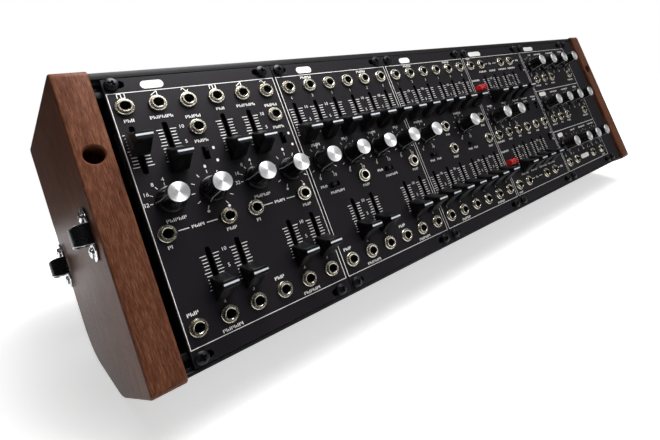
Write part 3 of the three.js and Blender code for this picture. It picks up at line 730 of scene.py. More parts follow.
# %% Strap loops
LOOP_FACE, LOOP_HEIGHT, LOOP_SCREW = 17.7, 66.31, 7.5
chrome = finish("chromium_plated_steel", 1.0, (0.07, 0.16), ("#cfd1d4", "#e2e4e6"),
                base_color="#d9dbde", metallic=1.0, roughness=0.1)
lacquer = finish("black_lacquered_steel", 0.9, (0.24, 0.36), ("#08080a", "#0f0f12"),
                 base_color="#09090b", roughness=0.3, specular_ior_level=0.5)
quarter = np.array([[3.6, 4.4], [4.4, 7.2], [1.2, 11.7]])
loop_outline = rounded(np.concatenate([quarter, quarter[::-1] * [-1, 1], quarter * [-1, -1],
                                       quarter[::-1] * [1, -1]]),
                       [1.2, 1.6, 1.1, 1.1, 1.6, 1.2] * 2, 4)


def arch(out, across, reach):
    """A U lying open to the cheek, as [out, across], with its two outer corners eased."""
    corners = [[0.05, -across], [out, -across], [out, across], [0.05, across]]
    return rounded(corners, [0.05, reach, reach, 0.05], 10)


def bent_bridge(grow, z0, z1, edge):
    """An arch less a smaller one from z0 to z1; past 3.5 mm out, z shrinks as the square."""
    outline = np.concatenate([arch(6.9 + grow, 3.9 + grow, 3.8), arch(6.1, 3.1, 3.0)[::-1]])
    points, *faces = carried(outline, z0, z1, edge, 1)
    z, out, across = points.T
    z = z * (1 - 0.22 * np.clip((out - 3.5) / 3.5, 0, 1) ** 2)
    return np.stack([out, across, z], -1), *faces


rims = [bent_bridge(0.1, z0, z1, 0.08) for z0, z1 in ((-4.6, -4.38), (4.38, 4.6))]
head, *head_faces = screw_head(2.3, 1.8, 0.5)
head = np.stack([0.6 - head[:, 1], head[:, 0], head[:, 2]], -1), *head_faces
loop_parts = [(carried(loop_outline, 0, 1, 0.3, 2), chrome),
              (bent_bridge(0, -4.45, 4.45, 0), lacquer), (rims[0], chrome), (rims[1], chrome),
              (moved(head, (0, 0, LOOP_SCREW)), chrome), (moved(head, (0, 0, -LOOP_SCREW)), chrome)]
for side, sign, face in (("left", -1, -LOOP_FACE), ("right", 1, ROW + LOOP_FACE)):
    for place, y in (("front", 10.5), ("rear", 87.5)):
        parts = [(tidy(points * [sign, 1, 1] + [face, y, LOOP_HEIGHT], *faces), paint)
                 for (points, *faces), paint in loop_parts]
        piece(f"strap_loop_{side}_{place}_fitting", parts,
              nodes=[f"strap_loop_{side}_{place}"])

# %% [markdown]
# ## Where the controls are
# Six columns cross each module, and each kind of control keeps to a few rows.
# The lists below give the places as the panels show them, from the left edge
# of a module and from the bottom of the panels.


# %% The layout of five modules
def column(c):
    """The middle of column c: six equal columns, shifted left by 0.65 mm."""
    return (c + 0.5) * MODULE / 6 - 0.65


def row(z, columns):
    """[x, 0, z] places of one row."""
    return [[column(c), 0, z] for c in columns]


def spots(z, shares):
    """[x, 0, z] places given as shares of a module's width."""
    return [[share * MODULE, 0, z] for share in shares]


ALL = range(6)
TOP, BOTTOM, MIDDLE, UPPER, LOWER, KNOBS = 114.7, 14.7, 56.0, 94.5, 34.5, 69.99
QUARTERS = [0.125, 0.375, 0.625, 0.875]
RANGES = [0.14469, 0.375, 0.64469, 0.875]
INPUTS = [0.13361, 0.63361]
FX_LOW = [0.125, 0.424, 0.65, 0.875]
FX = [0.122, 0.283, 0.44, 0.8575]
modules = {
    "oscillator": {
        "jacks": (row(TOP, ALL) + row(100.7, [2, 5]) + row(MIDDLE, [0, 2, 3, 5])
                  + row(BOTTOM, ALL)),
        "sliders": row(UPPER, [0, 1, 3, 4]) + row(LOWER, [1, 2, 4, 5]),
        "knobs": spots(KNOBS, RANGES), "switches": row(87.51, [2, 5])},
    "filter": {
        "jacks": row(TOP, ALL) + row(MIDDLE, [2, 5]) + row(BOTTOM, ALL),
        "sliders": row(UPPER, ALL) + row(LOWER, [1, 2, 4, 5]),
        "knobs": spots(KNOBS, QUARTERS), "level": row(MIDDLE, [0.5, 3.5])},
    "amplifier": {
        "jacks": row(TOP, ALL) + row(72.6, [2, 5]) + row(MIDDLE, [2, 5]) + row(BOTTOM, ALL),
        "sliders": row(UPPER, ALL) + row(LOWER, ALL),
        "knobs": spots(KNOBS, INPUTS), "level": row(MIDDLE, [0.5, 3.5])},
    "envelope": {
        "jacks": row(TOP, [0, 1, 3, 4]) + row(MIDDLE, ALL) + row(BOTTOM, [0, 1, 3, 4]),
        "sliders": row(UPPER, [1, 2, 3, 4]) + row(LOWER, [1, 2, 3, 4]),
        "knobs": spots(KNOBS, [0.13361, 0.375]),
        "switches": row(108.0, [5]) + row(71.96, [4, 5]) + row(41.99, [5]),
        "buttons": spots(95.22, [0.09010]) + spots(33.02, [0.09010])},
    "effects": {
        "jacks": (spots(94.3, FX) + spots(MIDDLE, FX) + row(BOTTOM, [0, 1])
                  + spots(BOTTOM, [0.64, 0.8575])),
        "knobs": spots(107.8, QUARTERS) + spots(KNOBS, QUARTERS) + spots(30.09, FX_LOW),
        "lamps": row(38.94, [1])},
}
print({name: sum(len(v) for v in kinds.values()) for name, kinds in modules.items()}, "controls")

# %% [markdown]
# ## Panels
# The panels are 2 mm aluminium sheet, punched, bead blasted and anodised
# black, which gives a satin surface with a faint brown cast. Blasting leaves a
# grain of about 0.1 mm; it is drawn three times as coarse here so that it
# shows at all.

# %% Anodised panels
panel_metal = finish("bead_blasted_black_anodising", 3.0, (0.44, 0.56), ("#141116", "#1a171b"),
                     0.012, roughness=0.5, ior=1.5, specular_ior_level=0.16)
SLOT_REACH = 1.7
slot_hole = ring(6.8, 3.4, 1.7, 4)
switch_hole = ring(2.8, 6.4, 0.4, 2)
HOLES = {"jacks": ring(6.4), "knobs": ring(7.4, steps=5), "sliders": ring(2.2, 22.4, 1.1, 4),
         "switches": switch_hole, "level": switch_hole[:, ::-1],
         "buttons": ring(10, 5, 0.6, 2), "lamps": ring(4)}


def panel(x0, width, wide, kinds):
    """A sheet of a width with screw slots that reach inwards, and a hole for every control."""
    outline = ring(width - 2 * PANEL_GAP, PANEL_HEIGHT, 0.4, 2)
    holes = [outline + [x0 + width / 2, MIDDLE_HEIGHT]]
    slots = [SCREW_INSET + SLOT_REACH, SCREW_INSET + SCREW_SPAN - SLOT_REACH]
    for x in slots if wide else slots[:1]:
        holes += [slot_hole + [x0 + x, z] for z in SCREW_ROWS]
    for kind, places in kinds.items():
        holes += [HOLES[kind] + [x0 + x, z] for x, _, z in places]
    return plate(holes, 0, PANEL_THICKNESS)


# %% [markdown]
# ## Printing
# White ink is screen printed on the anodising, a few hundredths of a
# millimetre thick. Lines, ticks and ladders are thin boxes made together from
# a list of segments. The dials carry plain numbers. Where a panel would name
# its controls there are rows of short plain strokes, which spell nothing.

# %% Ink, lines, pills and digits
INK, SUNK, DIGIT_HEIGHT, FINE_LINE = 0.045, 0.02, 1.75, 0.3
TALLY_STEP, TALLY_WIDTH, WAVE_Z, FONT_PER_HEIGHT = 0.72, 0.4, 120, 1.4
ink = finish("white_screen_ink", 2.0, (0.48, 0.62), ("#ecebe7", "#f8f7f5"),
             base_color="#f3f2ef", roughness=0.55, ior=1.5)


def strokes(segments):
    """Flat boxes: each [x0, z0, x1, z1, width] is widened by half its width to both sides."""
    s = np.asarray(segments, float)
    a, b = s[:, 0:2], s[:, 2:4]
    side = (b - a)[:, ::-1] * [-1, 1]
    side = side / np.linalg.norm(side, axis=1, keepdims=True) * s[:, 4:5] / 2
    rim = np.stack([a + side, b + side, b - side, a - side], 1)
    points = np.stack([np.insert(rim, 1, y, 2) for y in (-INK, SUNK)], 1).reshape(-1, 3)
    box = np.array([[0, 1, 2, 3], [7, 6, 5, 4], [0, 4, 5, 1], [1, 5, 6, 2], [2, 6, 7, 3],
                    [3, 7, 4, 0]])
    corners = (np.arange(len(s))[:, None, None] * 8 + box).reshape(-1)
    return points, corners, np.full(len(corners) // 4, 4)


def pills(bars):
    """Flat bars with round ends from [x, z, width, height]: a unit ring scaled and stretched."""
    x, z, width, height = np.asarray(bars, float).T[..., None]
    t = (np.arange(16) + 0.5) * math.pi / 8
    half = np.minimum(width, height) / 2
    x = x + half * np.cos(t) + np.sign(np.cos(t)) * (width / 2 - half)
    z = z + half * np.sin(t) + np.sign(np.sin(t)) * (height / 2 - half)
    both = [np.stack([x, np.full_like(x, y), z], -1) for y in (-INK, SUNK)]
    i = np.arange(16)
    sides = np.stack([i, i + 16, (i + 1) % 16 + 16, (i + 1) % 16], -1).reshape(-1)
    one = np.concatenate([i, i[::-1] + 16, sides])
    corners = (np.arange(len(bars))[:, None] * 32 + one).reshape(-1)
    sizes = np.concatenate([[16, 16], np.full(16, 4)])
    return np.stack(both, 1).reshape(-1, 3), corners, np.tile(sizes, len(bars))


def tallies(rows):
    """Uprights 0.72 mm apart from [x, z, width, height]; two of every five are 0.6 as high."""
    marks = []
    for x, z, width, height in rows:
        i = np.arange(max(2, round(width / TALLY_STEP)))
        across = x + TALLY_STEP * (i - i.mean())
        low = z - height / 2 + np.where(i % 5 == 1, 0.4 * height, 0)
        high = z + height / 2 - np.where(i % 5 == 3, 0.4 * height, 0)
        marks.append(np.stack([across, low, across, high, np.full(len(i), TALLY_WIDTH)], 1))
    return strokes(np.concatenate(marks))


glyphs = {}


def number(text):
    """A number as raised ink, centred on the origin; text is made a mesh before it is placed."""
    if text not in glyphs:
        font = bpy.data.curves.new("number", "FONT")
        font.body, font.size = text, DIGIT_HEIGHT * FONT_PER_HEIGHT
        font.align_x, font.align_y = "CENTER", "CENTER"
        font.resolution_u, font.extrude = 2, (INK + SUNK) / 2
        points, *faces = read(font, "number")
        x, z, y = points.T
        glyphs[text] = (np.stack([x, -y - INK / 2, z], -1), *faces)
    return glyphs[text]


def circle_ticks(x, z, clock, r0, r1):
    """Radial ticks at clock angles, degrees from the top: r sin a, r cos a from the centre."""
    a = np.radians(clock)
    out = np.stack([np.sin(a), np.cos(a)], -1)
    width = np.full((len(a), 1), FINE_LINE)
    return np.concatenate([[x, z] + r0 * out, [x, z] + r1 * out, width], 1).tolist()


def ladder(x, middle):
    """Eleven ticks 1.5 mm apart on both sides of a slot, every fifth one longer."""
    return [[x + side * 1.5, z, x + side * (3.8 if i % 5 else 4.3), z, 0.33]
            for side in (-1, 1) for i in range(11) for z in [middle + 1.5 * (i - 5)]]


def wave(kind, x):
    """A tiny wave sign above a jack: square, saw or triangle, 3 mm wide and 2 mm high."""
    signs = {"square": [(-1.5, -1), (-1.5, 1), (0, 1), (0, -1), (1.5, -1), (1.5, 1)],
             "saw": [(-1.5, -1), (1.2, 1), (1.2, -1)],
             "triangle": [(-1.6, 0), (-0.8, 1), (0.8, -1), (1.6, 0)]}[kind]
    return [[x + a[0], WAVE_Z + a[1], x + b[0], WAVE_Z + b[1], 0.35]
            for a, b in zip(signs[:-1], signs[1:])]


# %% [markdown]
# Each module's art is three lists: lines as [x0, z0, x1, z1, width], bars for
# pills and words as [x, z, width, height], and numbers as [text, x, z]. Three
# of the modules show the same half twice.

# %% What is printed on each module
HALF = MODULE / 2
DIAL_Z, DIAL_LOW = 70, 61.0
DIAL_CLOCK, RANGE_CLOCK = np.linspace(-150, 150, 11), [-90, -62, -31, -2]
LEFT, RIGHT, FRAME_LOW, FRAME_TOP = 0.86, MODULE - 0.86 - 0.2, 7.3, 121.4
FRAME = [[LEFT - FINE_LINE / 2, z, RIGHT + FINE_LINE / 2, z, FINE_LINE]
         for z in (FRAME_LOW, FRAME_TOP)]
FRAME += [[x, FRAME_LOW, x, FRAME_TOP, FINE_LINE] for x in (LEFT, RIGHT)]
HEADER = [20.1, 124.4, 9.9, 3.9]
UPPER_SCALE, LOWER_SCALE = [("10", 102.3), ("5", 94.8)], [("10", 42.4), ("5", 34.8)]
TWO_THREE = [["2", 19.6, 20.9], ["3", 33.2, 20.9]]


def twice(lines, bars, digits):
    """Both halves of a module from the art of its left half."""
    return ([[x0 + s, z0, x1 + s, z1, w] for s in (0, HALF) for x0, z0, x1, z1, w in lines],
            [[x + s, *rest] for s in (0, HALF) for x, *rest in bars],
            [[text, x + s, z] for s in (0, HALF) for text, x, z in digits])


def ladders(middle, columns):
    """The ladders of the sliders in some columns of one row."""
    return sum((ladder(column(c), middle) for c in columns), [])


def beside(xs, scale):
    """The numbers of a scale, repeated at every x."""
    return [[text, x, z] for x in xs for text, z in scale]


def dial(x, z=DIAL_Z, outer=9.1):
    """The eleven ticks of a dial."""
    return circle_ticks(x, z, DIAL_CLOCK, 7.7, outer)


def dial_ends(x, z=DIAL_LOW):
    """The numbers at both ends of a dial."""
    return [["0", x - 4.7, z], ["10", x + 4.9, z]]


art = {}
lines, bars, digits = twice(
    ladder(6.1, UPPER) + ladder(19.67, UPPER) + ladder(19.67, LOWER) + ladder(33.2, LOWER)
    + wave("square", 6.1) + wave("saw", 19.6) + wave("triangle", 33.2)
    + [[10.8, 56, 15.4, 56, 0.4], [23.2, 56, 28.1, 56, 0.4]]
    + circle_ticks(11.76, DIAL_Z, RANGE_CLOCK, 6.9, 8.2)
    + circle_ticks(30.48, DIAL_Z, DIAL_CLOCK, 8.0, 9.6),
    [[6.2, 108.3, 4, 1.5], [19.6, 108.3, 10, 1.5], [33, 106.4, 7, 1.5], [33, 93.9, 6.6, 1.5],
     [37.2, 89.4, 1.2, 1.5], [37.2, 83.1, 1.2, 1.5], [11.7, 61.1, 8.3, 1.5],
     [19.3, 56, 5.4, 1.4], [5.8, 50.2, 2.5, 1.5], [33, 50.2, 5, 1.5], [5.8, 20.9, 4.7, 1.6],
     [19.4, 8.9, 9.4, 1.4], [25.6, 60.6, 1.3, 1.3], [35.3, 60.6, 1.3, 1.3],
     [30.48, 81.4, 1.1, 1.6]],
    beside([26.4], [("10", 102.2), ("5", 94.8)] + LOWER_SCALE) + TWO_THREE
    + [[text, 11.76 + 9.7 * math.sin(a), DIAL_Z + 9.6 * math.cos(a)]
       for text, a in zip(("32", "16", "8", "4"), np.radians(RANGE_CLOCK))])
art["oscillator"] = lines, [HEADER] + bars, digits

lines, bars, digits = twice(
    ladders(UPPER, (0, 1, 2)) + ladders(LOWER, (1, 2)) + dial(10.16) + dial(30.48),
    [[19.4, 119.8, 7.5, 1.5], [9.9, 79.9, 6, 1.5], [29.9, 79.9, 4.6, 1.5], [5.7, 56.2, 4, 1.4],
     [13, 51.8, 9.5, 1.4], [33, 50.5, 5, 1.5], [5.7, 20.8, 4.8, 1.6], [19.4, 8.9, 9.3, 1.4]],
    [[str(i + 1), column(i), 108.6] for i in range(3)] + TWO_THREE
    + dial_ends(10.16) + dial_ends(30.48))
digits += beside((12.8, 26.4, 53.6, 67.2), UPPER_SCALE) + beside((26.4, 67.2), LOWER_SCALE)
art["filter"] = lines, [HEADER] + bars, digits

lines, bars, digits = twice(
    ladders(UPPER, (0, 1, 2)) + ladders(LOWER, (0, 1, 2)) + dial(10.86),
    [[20.2, 120.2, 7.2, 1.4], [10.2, 80, 8, 1.5], [33.4, 66.6, 4, 1.5], [9.9, 52.3, 4, 1.4],
     [16.3, 52.3, 4, 1.4], [33.2, 50.1, 5, 1.5], [19.7, 8.9, 8.8, 1.4]],
    [[str(i + 1), column(i), z] for i in range(3) for z in (108.6, 20.9)]
    + [["0", 5.4, DIAL_LOW], ["10", 15.1, DIAL_LOW]])
digits += beside((12.8, 26.4, 53.6, 67.2), UPPER_SCALE + LOWER_SCALE)
art["amplifier"] = lines, [HEADER] + bars, digits

lines = ladders(UPPER, (1, 2, 3, 4)) + ladders(LOWER, (1, 2, 3, 4)) + dial(10.86) + dial(30.48)
bars = [[17.8, 124.4, 15.7, 3.9], [6.7, 120.6, 4.6, 1.2]]
for z in (114.9, 14.8):
    lines += [[x0, z, x1, z, 0.4] for x0, x1 in ((25.6, 29.5), (36.5, 41), (66.2, 69.4))]
    bars += [[33, z, 3.2, 1.6], [73, z, 3.4, 1.6]]
for z, height, words in (
        (108.7, 1.5, ((19.5, 9.4), (32.8, 8.3), (46.9, 10.5), (60.3, 10.5))),
        (20.9, 1.5, ((19.5, 9.4), (32.8, 8.3), (46.9, 10.5), (60.3, 10.5))),
        (102.1, 1.5, ((6.2, 9.4),)), (42.3, 1.5, ((6.2, 9.4),)), (8.9, 1.4, ((5.6, 5),)),
        (79.9, 1.4, ((10.1, 6.7), (29.6, 5.5), (46.9, 8.3), (60.3, 8.3), (73.9, 7))),
        (77.3, 1.4, ((46.9, 6), (60.3, 6), (73.9, 5))),
        (50.4, 1.5, ((6.2, 9.4), (19.7, 5), (33.2, 3.3), (47.3, 4.4), (60.6, 4.4), (74, 4.4))),
        *((z, 1.4, ((78.2, 2.2),)) for z in (110.8, 105.2, 44.8, 39.2))):
    bars += [[x, z, width, height] for x, width in words]
digits = beside((26.4, 53.6), UPPER_SCALE + LOWER_SCALE) + dial_ends(10.86) + dial_ends(30.48)
art["envelope"] = lines, bars, digits

lines = [[LEFT, z, RIGHT, z, 0.42] for z in (83.5, 44.2)]
bars = [[17.5, 124.4, 15.2, 3.9], [10.1, 80.2, 11, 3.8], [10.3, 40.2, 8.6, 3.8],
        [36.8, 14.9, 15, 4], [71.2, 8.9, 6, 1.3]]
for z, words in ((118.4, ((15, 4), (29.4, 12), (51.2, 13), (71.7, 7))),
                 (88.6, ((10.1, 8.6), (23.2, 3.6), (36, 6.8), (69.8, 9.8))),
                 (50.7, ((10.1, 8.6), (23.2, 3.6), (36, 6.8), (69.8, 9.8))),
                 (80.4, ((29.5, 12), (50.3, 12), (70.8, 7))),
                 (41.2, ((34, 9), (52.2, 13), (70.8, 12)))):
    bars += [[x, z, width, 1.4] for x, width in words]
digits = [[text, x, 20.6] for text, x in (("1", 6.1), ("2", 19.7), ("1", 52), ("2", 69.7))]
for z, shares in ((107.8, QUARTERS), (DIAL_Z, QUARTERS), (30.1, FX_LOW)):
    for x in MODULE * np.array(shares):
        lines += dial(x, z, 9.0)
        digits += dial_ends(x, z - 8.9)
art["effects"] = lines, bars, digits


def printing(x0, name):
    """All ink of one module: lines, pills, rows of strokes and numbers, at the module's place."""
    lines, bars, digits = art[name]
    words = [bar for bar in bars if bar[2] > 2 and bar[3] < 3]
    signs = [bar for bar in bars if bar not in words]
    shapes = [strokes(FRAME + lines), pills(signs), tallies(words)]
    shapes += [moved(number(text), (x, 0, z)) for text, x, z in digits]
    return [(moved(shape, (x0, 0, 0)), ink) for shape in shapes]


# %% [markdown]
# ## Patch jacks
# A patch jack is a threaded brass sleeve with a round nut, nickel plated,
# around a bore of black plastic. The bore is drawn near-black and closed by a
# black disc near its bottom, which is painted shade in the hole. Both are
# turned parts, so a profile is turned about the bore. A narrow groove parts
# the round nut from the sleeve, which stands out further than the nut.

# %% One jack, copied
# Near-black: partly black plastic and partly painted shade in the jack bores, and only painted
# shade in the slide slots.
black_plastic_and_painted_shade = finish("black_bore_and_painted_shade", 1.0, (0.6, 0.8), ("#050505", "#090909"),
                    base_color="#060606", roughness=0.7)
nut = turned([[3.35, 0.3], [3.9, 0.3], [3.9, -1.0], [3.8, -1.26], [3.64, -1.4], [3.42, -1.4],
              [3.28, -1.25], [3.25, -0.3]], 36, True)
sleeve = turned([[3.2, 0.2], [3.2, -0.25], [2.8, -0.35], [2.78, -2.15], [2.66, -2.36],
                 [2.38, -2.36], [2.22, -2.25], [2.2, -1.4], [2.2, 0.2]], 28, True)
# The throat and the disc that closes it at 9 mm are painted shade deep in the bore.
throat = turned([[2.38, 0.1], [2.21, 0.1], [2.15, 9], [0, 9], [0, 9.3], [2.38, 9.3]], 20, True)

# %% [markdown]
# ## Slider caps and switch nubs
# A slider cap is a moulded ABS paddle with scooped flanks and a pale line
# across its ridge, on a steel lever. Its half length falls from 5.5 to 1.7 mm
# along a cosine between foot and ridge. Only the oscillator's caps move here,
# so the others are copies in one piece for each module.

# %% One slider cap and one nub
cap_plastic = finish("moulded_black_abs", 2.5, (0.28, 0.42), ("#060607", "#09090b"), 0.01,
                     base_color="#070708", roughness=0.34, specular_ior_level=0.2)
white_line = finish("white_hot_stamped_foil", 2.0, (0.34, 0.46), ("#c8cdd5", "#d6dbe3"),
                    base_color="#cfd4dc", roughness=0.4)
share = np.linspace(0, 1, 12)
half_length = 1.7 + 3.8 * (0.5 + 0.5 * np.cos(math.pi * share ** 0.8))
half_length[:2] = 5.5
cap = moulding([(7.4 - 0.3 * s, 2 * half, 0.7, -1.2 - 12.6 * s)
                for s, half in zip(share, half_length)] + [(6.9, 3.1, 0.6, -13.95)])
stripe = block(6.85, 0.9, 0.25, -13.5, -14.0, 2)
lever = block(1.2, 4, 0.2, -2.5, 5.8, 1)
nub = moulding([(2, 2.6, 0.3, 5.8), (2, 2.6, 0.3, -2.2), (1.6, 2.2, 0.3, -2.6)], 2)
ribs = moulding([(1.9, 0.25, 0.1, -2.3), (1.8, 0.2, 0.08, -2.75)], 1)
level_nub = nub[0][:, [2, 1, 0]] * [-1, 1, 1], *nub[1:]


def sliders_at(places):
    """Caps, lines and levers at their places."""
    return [(copies(cap, places), cap_plastic), (copies(stripe, places), white_line),
            (copies(lever, places), zinc)]


def switches_at(places):
    """Ribbed nubs at their places."""
    return [(copies(nub, places), cap_plastic), (copies(ribs, places), cap_plastic)]


# %% [markdown]
# ## Knobs
# A knob is a black moulded body with a wide skirt and shallow flutes, a white
# pointer line down one side, drawn grey as painted shade, and a turned
# aluminium disc let into its top.
# Turning leaves fine circular grooves, so a light stretches into a bow tie
# across the disc. The shader does that with anisotropy along the UV map of
# turn and radius.

# %% Knob finishes
# The pointer is white foil. Its grey colour is painted shade.
pointer_foil_painted_shade = finish("white_foil_greyed_as_painted_shade", 2.0, (0.38, 0.52), ("#868684", "#989896"),
                   base_color="#8f8f8d", roughness=0.45)
knob_plastic = finish("polished_black_abs", 1.2, (0.16, 0.26), ("#050506", "#0a0a0b"),
                      base_color="#060607", roughness=0.2, specular_ior_level=0.32)
spun, tree, shader = material("turned_aluminium", base_color="#e2e2e4", metallic=1.0,
                              roughness=0.44, anisotropic=0.8, anisotropic_rotation=0.25)
around = add(tree, "Tangent", direction_type="UV_MAP", uv_map="turn")
tree.links.new(around.outputs[0], shader.inputs["Tangent"])
groove_uv = add(tree, "UVMap", uv_map="turn")
groove_map = add(tree, "Mapping", {"Vector": groove_uv.outputs[0], "Scale": (0.8, 40, 1)})
grooves = add(tree, "TexNoise", {"Vector": groove_map.outputs[0], "Scale": 1.0, "Detail": 2.0})
sheen = ramp(tree, grooves.outputs[0], (NOISE_LOW, "#d2d3d5"), (NOISE_HIGH, "#efeff0"))
tree.links.new(sheen, shader.inputs["Base Color"])

# %% The knob and its pointer
FLUTES, FLUTE_DEPTH, SIDES = 16, 0.045, 64
POINTER_HALF = 0.2


def knob_body():
    """A turned [radius, y, share] profile; the radius dips by share and (1 - cos(16 t)) / 2."""
    r, y, share = np.array([
        [3, 4.8, 0], [3, -0.8, 0], [6.0, -0.8, 0], [6.2, -1.0, 0], [6.2, -1.9, 0],
        [6.0, -2.3, 0], [5.5, -2.5, 0], [5.2, -3.0, 0.2], [5.1, -4.0, 1], [4.9, -8.4, 1],
        [4.74, -12.6, 1], [4.7, -13.1, 0.3], [4.5, -13.4, 0], [4.3, -13.4, 0]]).T[..., None]
    t = np.arange(SIDES) * 2 * math.pi / SIDES
    r = r * (1 - share * FLUTE_DEPTH * (0.5 - 0.5 * np.cos(FLUTES * t)))
    return stack(np.stack([r * np.sin(t), np.repeat(y, SIDES, 1), r * np.cos(t)], -1))


def pointer(clock):
    """A thin bar that follows the body's profile: four corners a little in and out of it."""
    path = np.array([[6.22, -1.2], [6.12, -2.1], [5.5, -2.52], [5.22, -3.0], [5.1, -4.0],
                     [4.92, -8.4], [4.78, -12.6], [4.74, -13.12], [4.55, -13.42]])
    step = np.gradient(path, axis=0)
    out = np.stack([-step[:, 1], step[:, 0]], -1) / np.linalg.norm(step, axis=1, keepdims=True)
    inner, outer = path - 0.25 * out, path + 0.05 * out
    rings = np.stack([np.insert(edge, 0, side, 1) for edge, side in (
        (inner, -POINTER_HALF), (inner, POINTER_HALF), (outer, POINTER_HALF),
        (outer, -POINTER_HALF))], 1)
    side, r, y = np.moveaxis(rings, -1, 0)
    c, s = math.cos(math.radians(clock)), math.sin(math.radians(clock))
    return stack(np.stack([r * s + side * c, y, r * c - side * s], -1))


body_surface = knob_body()
disc = turned([[4.4, -13.0], [4.4, -13.5], [4.25, -13.7], [3.4, -13.66], [2.4, -13.62],
               [1.4, -13.59], [0.5, -13.57], [0, -13.57]], 48)
clocks = {"oscillator": [-90, -150, -90, -77]}
for m, (name, kinds) in enumerate(modules.items()):
    for i, (x, _, z) in enumerate(kinds["knobs"]):
        at = (m * MODULE + x, 0, z)
        clock = clocks.get(name, [-150] * 12)[i]
        node = f"{name}_knob_{i + 1}"
        parts = [(body_surface, knob_plastic), (pointer(clock), pointer_foil_painted_shade), (disc, spun)]
        piece(f"{node}_dressed", [(moved(shape, at), paint) for shape, paint in parts],
              body=node, nodes=[node], axis=(at[0], at[2]))

# %% [markdown]
# ## Boards behind the panels
# Each module has one board. The jacks' housings, the cans of the rotary
# controls and the frames of the slide controls stand on its front, and chips
# and a shrouded header on its back.

# %% What stands on the boards
BOARD_WIDTH, BOARD_HEIGHT, HEADER_Z = MODULE - 4.8, 109.5, 38.55
BOARD_FRONT, BOARD_BACK, FOOT, SWITCH_FACE = 12.3, 13.9, 13, 6.1
housing = moulding([(9, 10.4, 0.4, FOOT), (9, 10.4, 0.4, 2.3), (4.8, 4.8, 2.4, 2.3),
                    (4.8, 4.8, 2.4, 9.8)], 4)
rotary = moulding([(9.6, 11, 0.8, FOOT), (9.6, 11, 0.8, 5.4), (9.0, 10.4, 0.6, 5.1)])
slide_frame = moulding([(8, 26, 0.5, FOOT), (8, 26, 0.5, 6.4), (7.6, 25.6, 0.5, 6.1)])
# A near-black sheet just behind each slide frame's slot is painted shade.
painted_shade_in_slot = block(6.4, 24.4, 0.5, 6.3, 6.05)
switch_boxes = {"switches": block(5, 10, 0.4, FOOT, SWITCH_FACE),
                "level": block(10, 5, 0.4, FOOT, SWITCH_FACE),
                "buttons": block(10, 10, 0.8, FOOT, SWITCH_FACE)}
chip = moulding([(6.2, 9.9, 0.2, 13.8), (6.2, 9.9, 0.2, 15.0), (5.9, 9.6, 0.2, 15.2)], 2)
chip_leg = block(0.9, 0.45, 0.1, -0.1, 0.5, 1)
chip_legs = copies(chip_leg, [[side * 3.4, BOARD_BACK, 1.27 * (i - 3)]
                              for side in (-1, 1) for i in range(7)])
chip_spots = np.array([[12 + 14 * i, 0, z] for z in (58, 82, 104) for i in range(5)])

red_cap = finish("moulded_red_polycarbonate", 0.6, (0.2, 0.32), ("#a01014", "#be1a1b"),
                 base_color="#b01316", roughness=0.25, ior=1.58)
lens = finish("unlit_red_lens", 0.8, (0.1, 0.2), ("#3c0909", "#581010"),
              base_color="#4a0c0c", roughness=0.15, ior=1.5)
button_cap = moulding([(9, 4, 0.8, 2), (9, 4, 0.8, -3.7), (8.7, 3.7, 0.8, -4.2),
                       (8.1, 3.1, 0.8, -4.5), (7.2, 2.2, 0.8, -4.6)], 4)
button_stem = block(3, 3, 0.3, 5.0, 1.6, 2)
lamp_dome = turned([[0, 13], [1.5, 13], [1.5, -0.2], [1.38, -0.75], [1.05, -1.15],
                    [0.55, -1.35], [0, -1.4]], 24)


def board_parts(x0, here):
    """A module's board with all that is soldered to it, from the places of its controls."""
    outline = ring(BOARD_WIDTH, BOARD_HEIGHT, 0.8, 3) + [x0 + MODULE / 2, MIDDLE_HEIGHT]
    header_at = (x0 + MODULE / 2, BOARD_BACK, HEADER_Z)
    parts = [(plate([outline], BOARD_FRONT, BOARD_BACK, 0.1), laminate),
             (copies(housing, here["jacks"]), moulded), (copies(rotary, here["knobs"]), zinc),
             (moved(facing_back(shroud), header_at), moulded),
             (moved(facing_back(pins), header_at), gold)]
    parts += [(copies(box, here[kind]), moulded) for kind, box in switch_boxes.items()
              if kind in here]
    if "sliders" in here:
        parts += [(copies(slide_frame, here["sliders"]), zinc),
                  (copies(painted_shade_in_slot, here["sliders"]), black_plastic_and_painted_shade)]
    chips = chip_spots + [x0, 0, 0]
    return parts + [(copies(chip, chips), moulded), (copies(chip_legs, chips), zinc)]


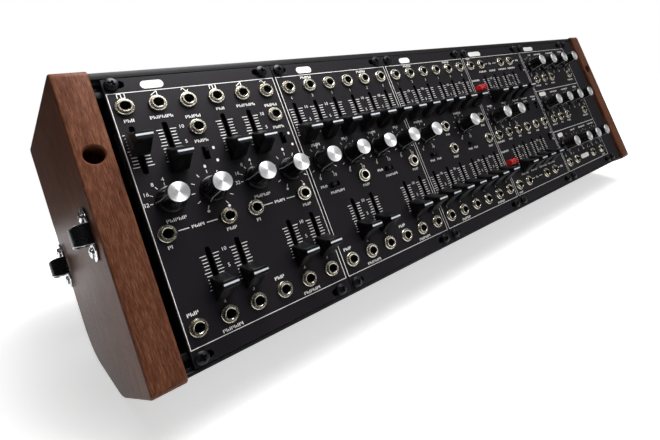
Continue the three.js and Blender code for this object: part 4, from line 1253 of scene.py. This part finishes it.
# %% Everything on each module
SLIDER_DOWN, FIRST_SLIDER = np.array([0, 0, -7.5]), np.array([0, 0, 2.4])
SWITCH_UP, LEVEL_LEFT = np.array([0, 0, 1.5]), np.array([-1.5, 0, 0])
for m, (name, kinds) in enumerate(modules.items()):
    x0 = m * MODULE
    here = {kind: np.array(places) + [x0, 0, 0] for kind, places in kinds.items()}
    jacks = here["jacks"]
    piece(f"{name}_front_panel", [(panel(x0, MODULE, True, kinds), panel_metal)],
          nodes=[f"{name}_panel"])
    piece(f"{name}_printing", printing(x0, name))
    piece(f"{name}_jacks", [(copies(nut, jacks), nickel), (copies(sleeve, jacks), nickel),
                            (copies(throat, jacks), black_plastic_and_painted_shade)])
    piece(f"{name}_circuit_board", board_parts(x0, here), nodes=[f"{name}_board"])
    moving, fixed = name == "oscillator", []
    if "sliders" in here and not moving:
        fixed += sliders_at(here["sliders"] + SLIDER_DOWN)
    if "switches" in here and not moving:
        fixed += switches_at(here["switches"] + SWITCH_UP)
    if "level" in here:
        fixed.append((copies(level_nub, here["level"] + LEVEL_LEFT), cap_plastic))
    if "lamps" in here:
        fixed.append((copies(lamp_dome, here["lamps"]), lens))
    if fixed:
        piece(f"{name}_caps", fixed)
    for i, at in enumerate(here["sliders"] if moving else []):
        node = f"{name}_slider_{i + 1}"
        piece(f"{node}_cap", sliders_at(at + (SLIDER_DOWN if i else FIRST_SLIDER)),
              body=node, nodes=[node])
    for i, at in enumerate(here["switches"] if moving else []):
        node = f"{name}_switch_{i + 1}"
        piece(f"{node}_nub", switches_at(at + SWITCH_UP),
              body=node, nodes=[node])
    for i, at in enumerate(here.get("buttons", [])):
        node = f"{name}_button_{i + 1}"
        piece(f"{node}_cap", [(moved(button_cap, at), red_cap), (moved(button_stem, at), moulded)],
              body=node, nodes=[node])

piece("blank_front_panel", [(panel(5 * MODULE, 4 * PITCH, False, {}), panel_metal)],
      nodes=["blank_panel"])

# %% [markdown]
# ## Sizes
# The size of the dressed rack should stay that of the solids, so both boxes
# are printed side by side.

# %% Sizes and finish
dressed_box = [list(corner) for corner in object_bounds()]
for title, (low, high) in (("solids", cad_box), ("dressed", dressed_box)):
    print(title, [round(1000 * (b - a), 2) for a, b in zip(low, high)], "mm")
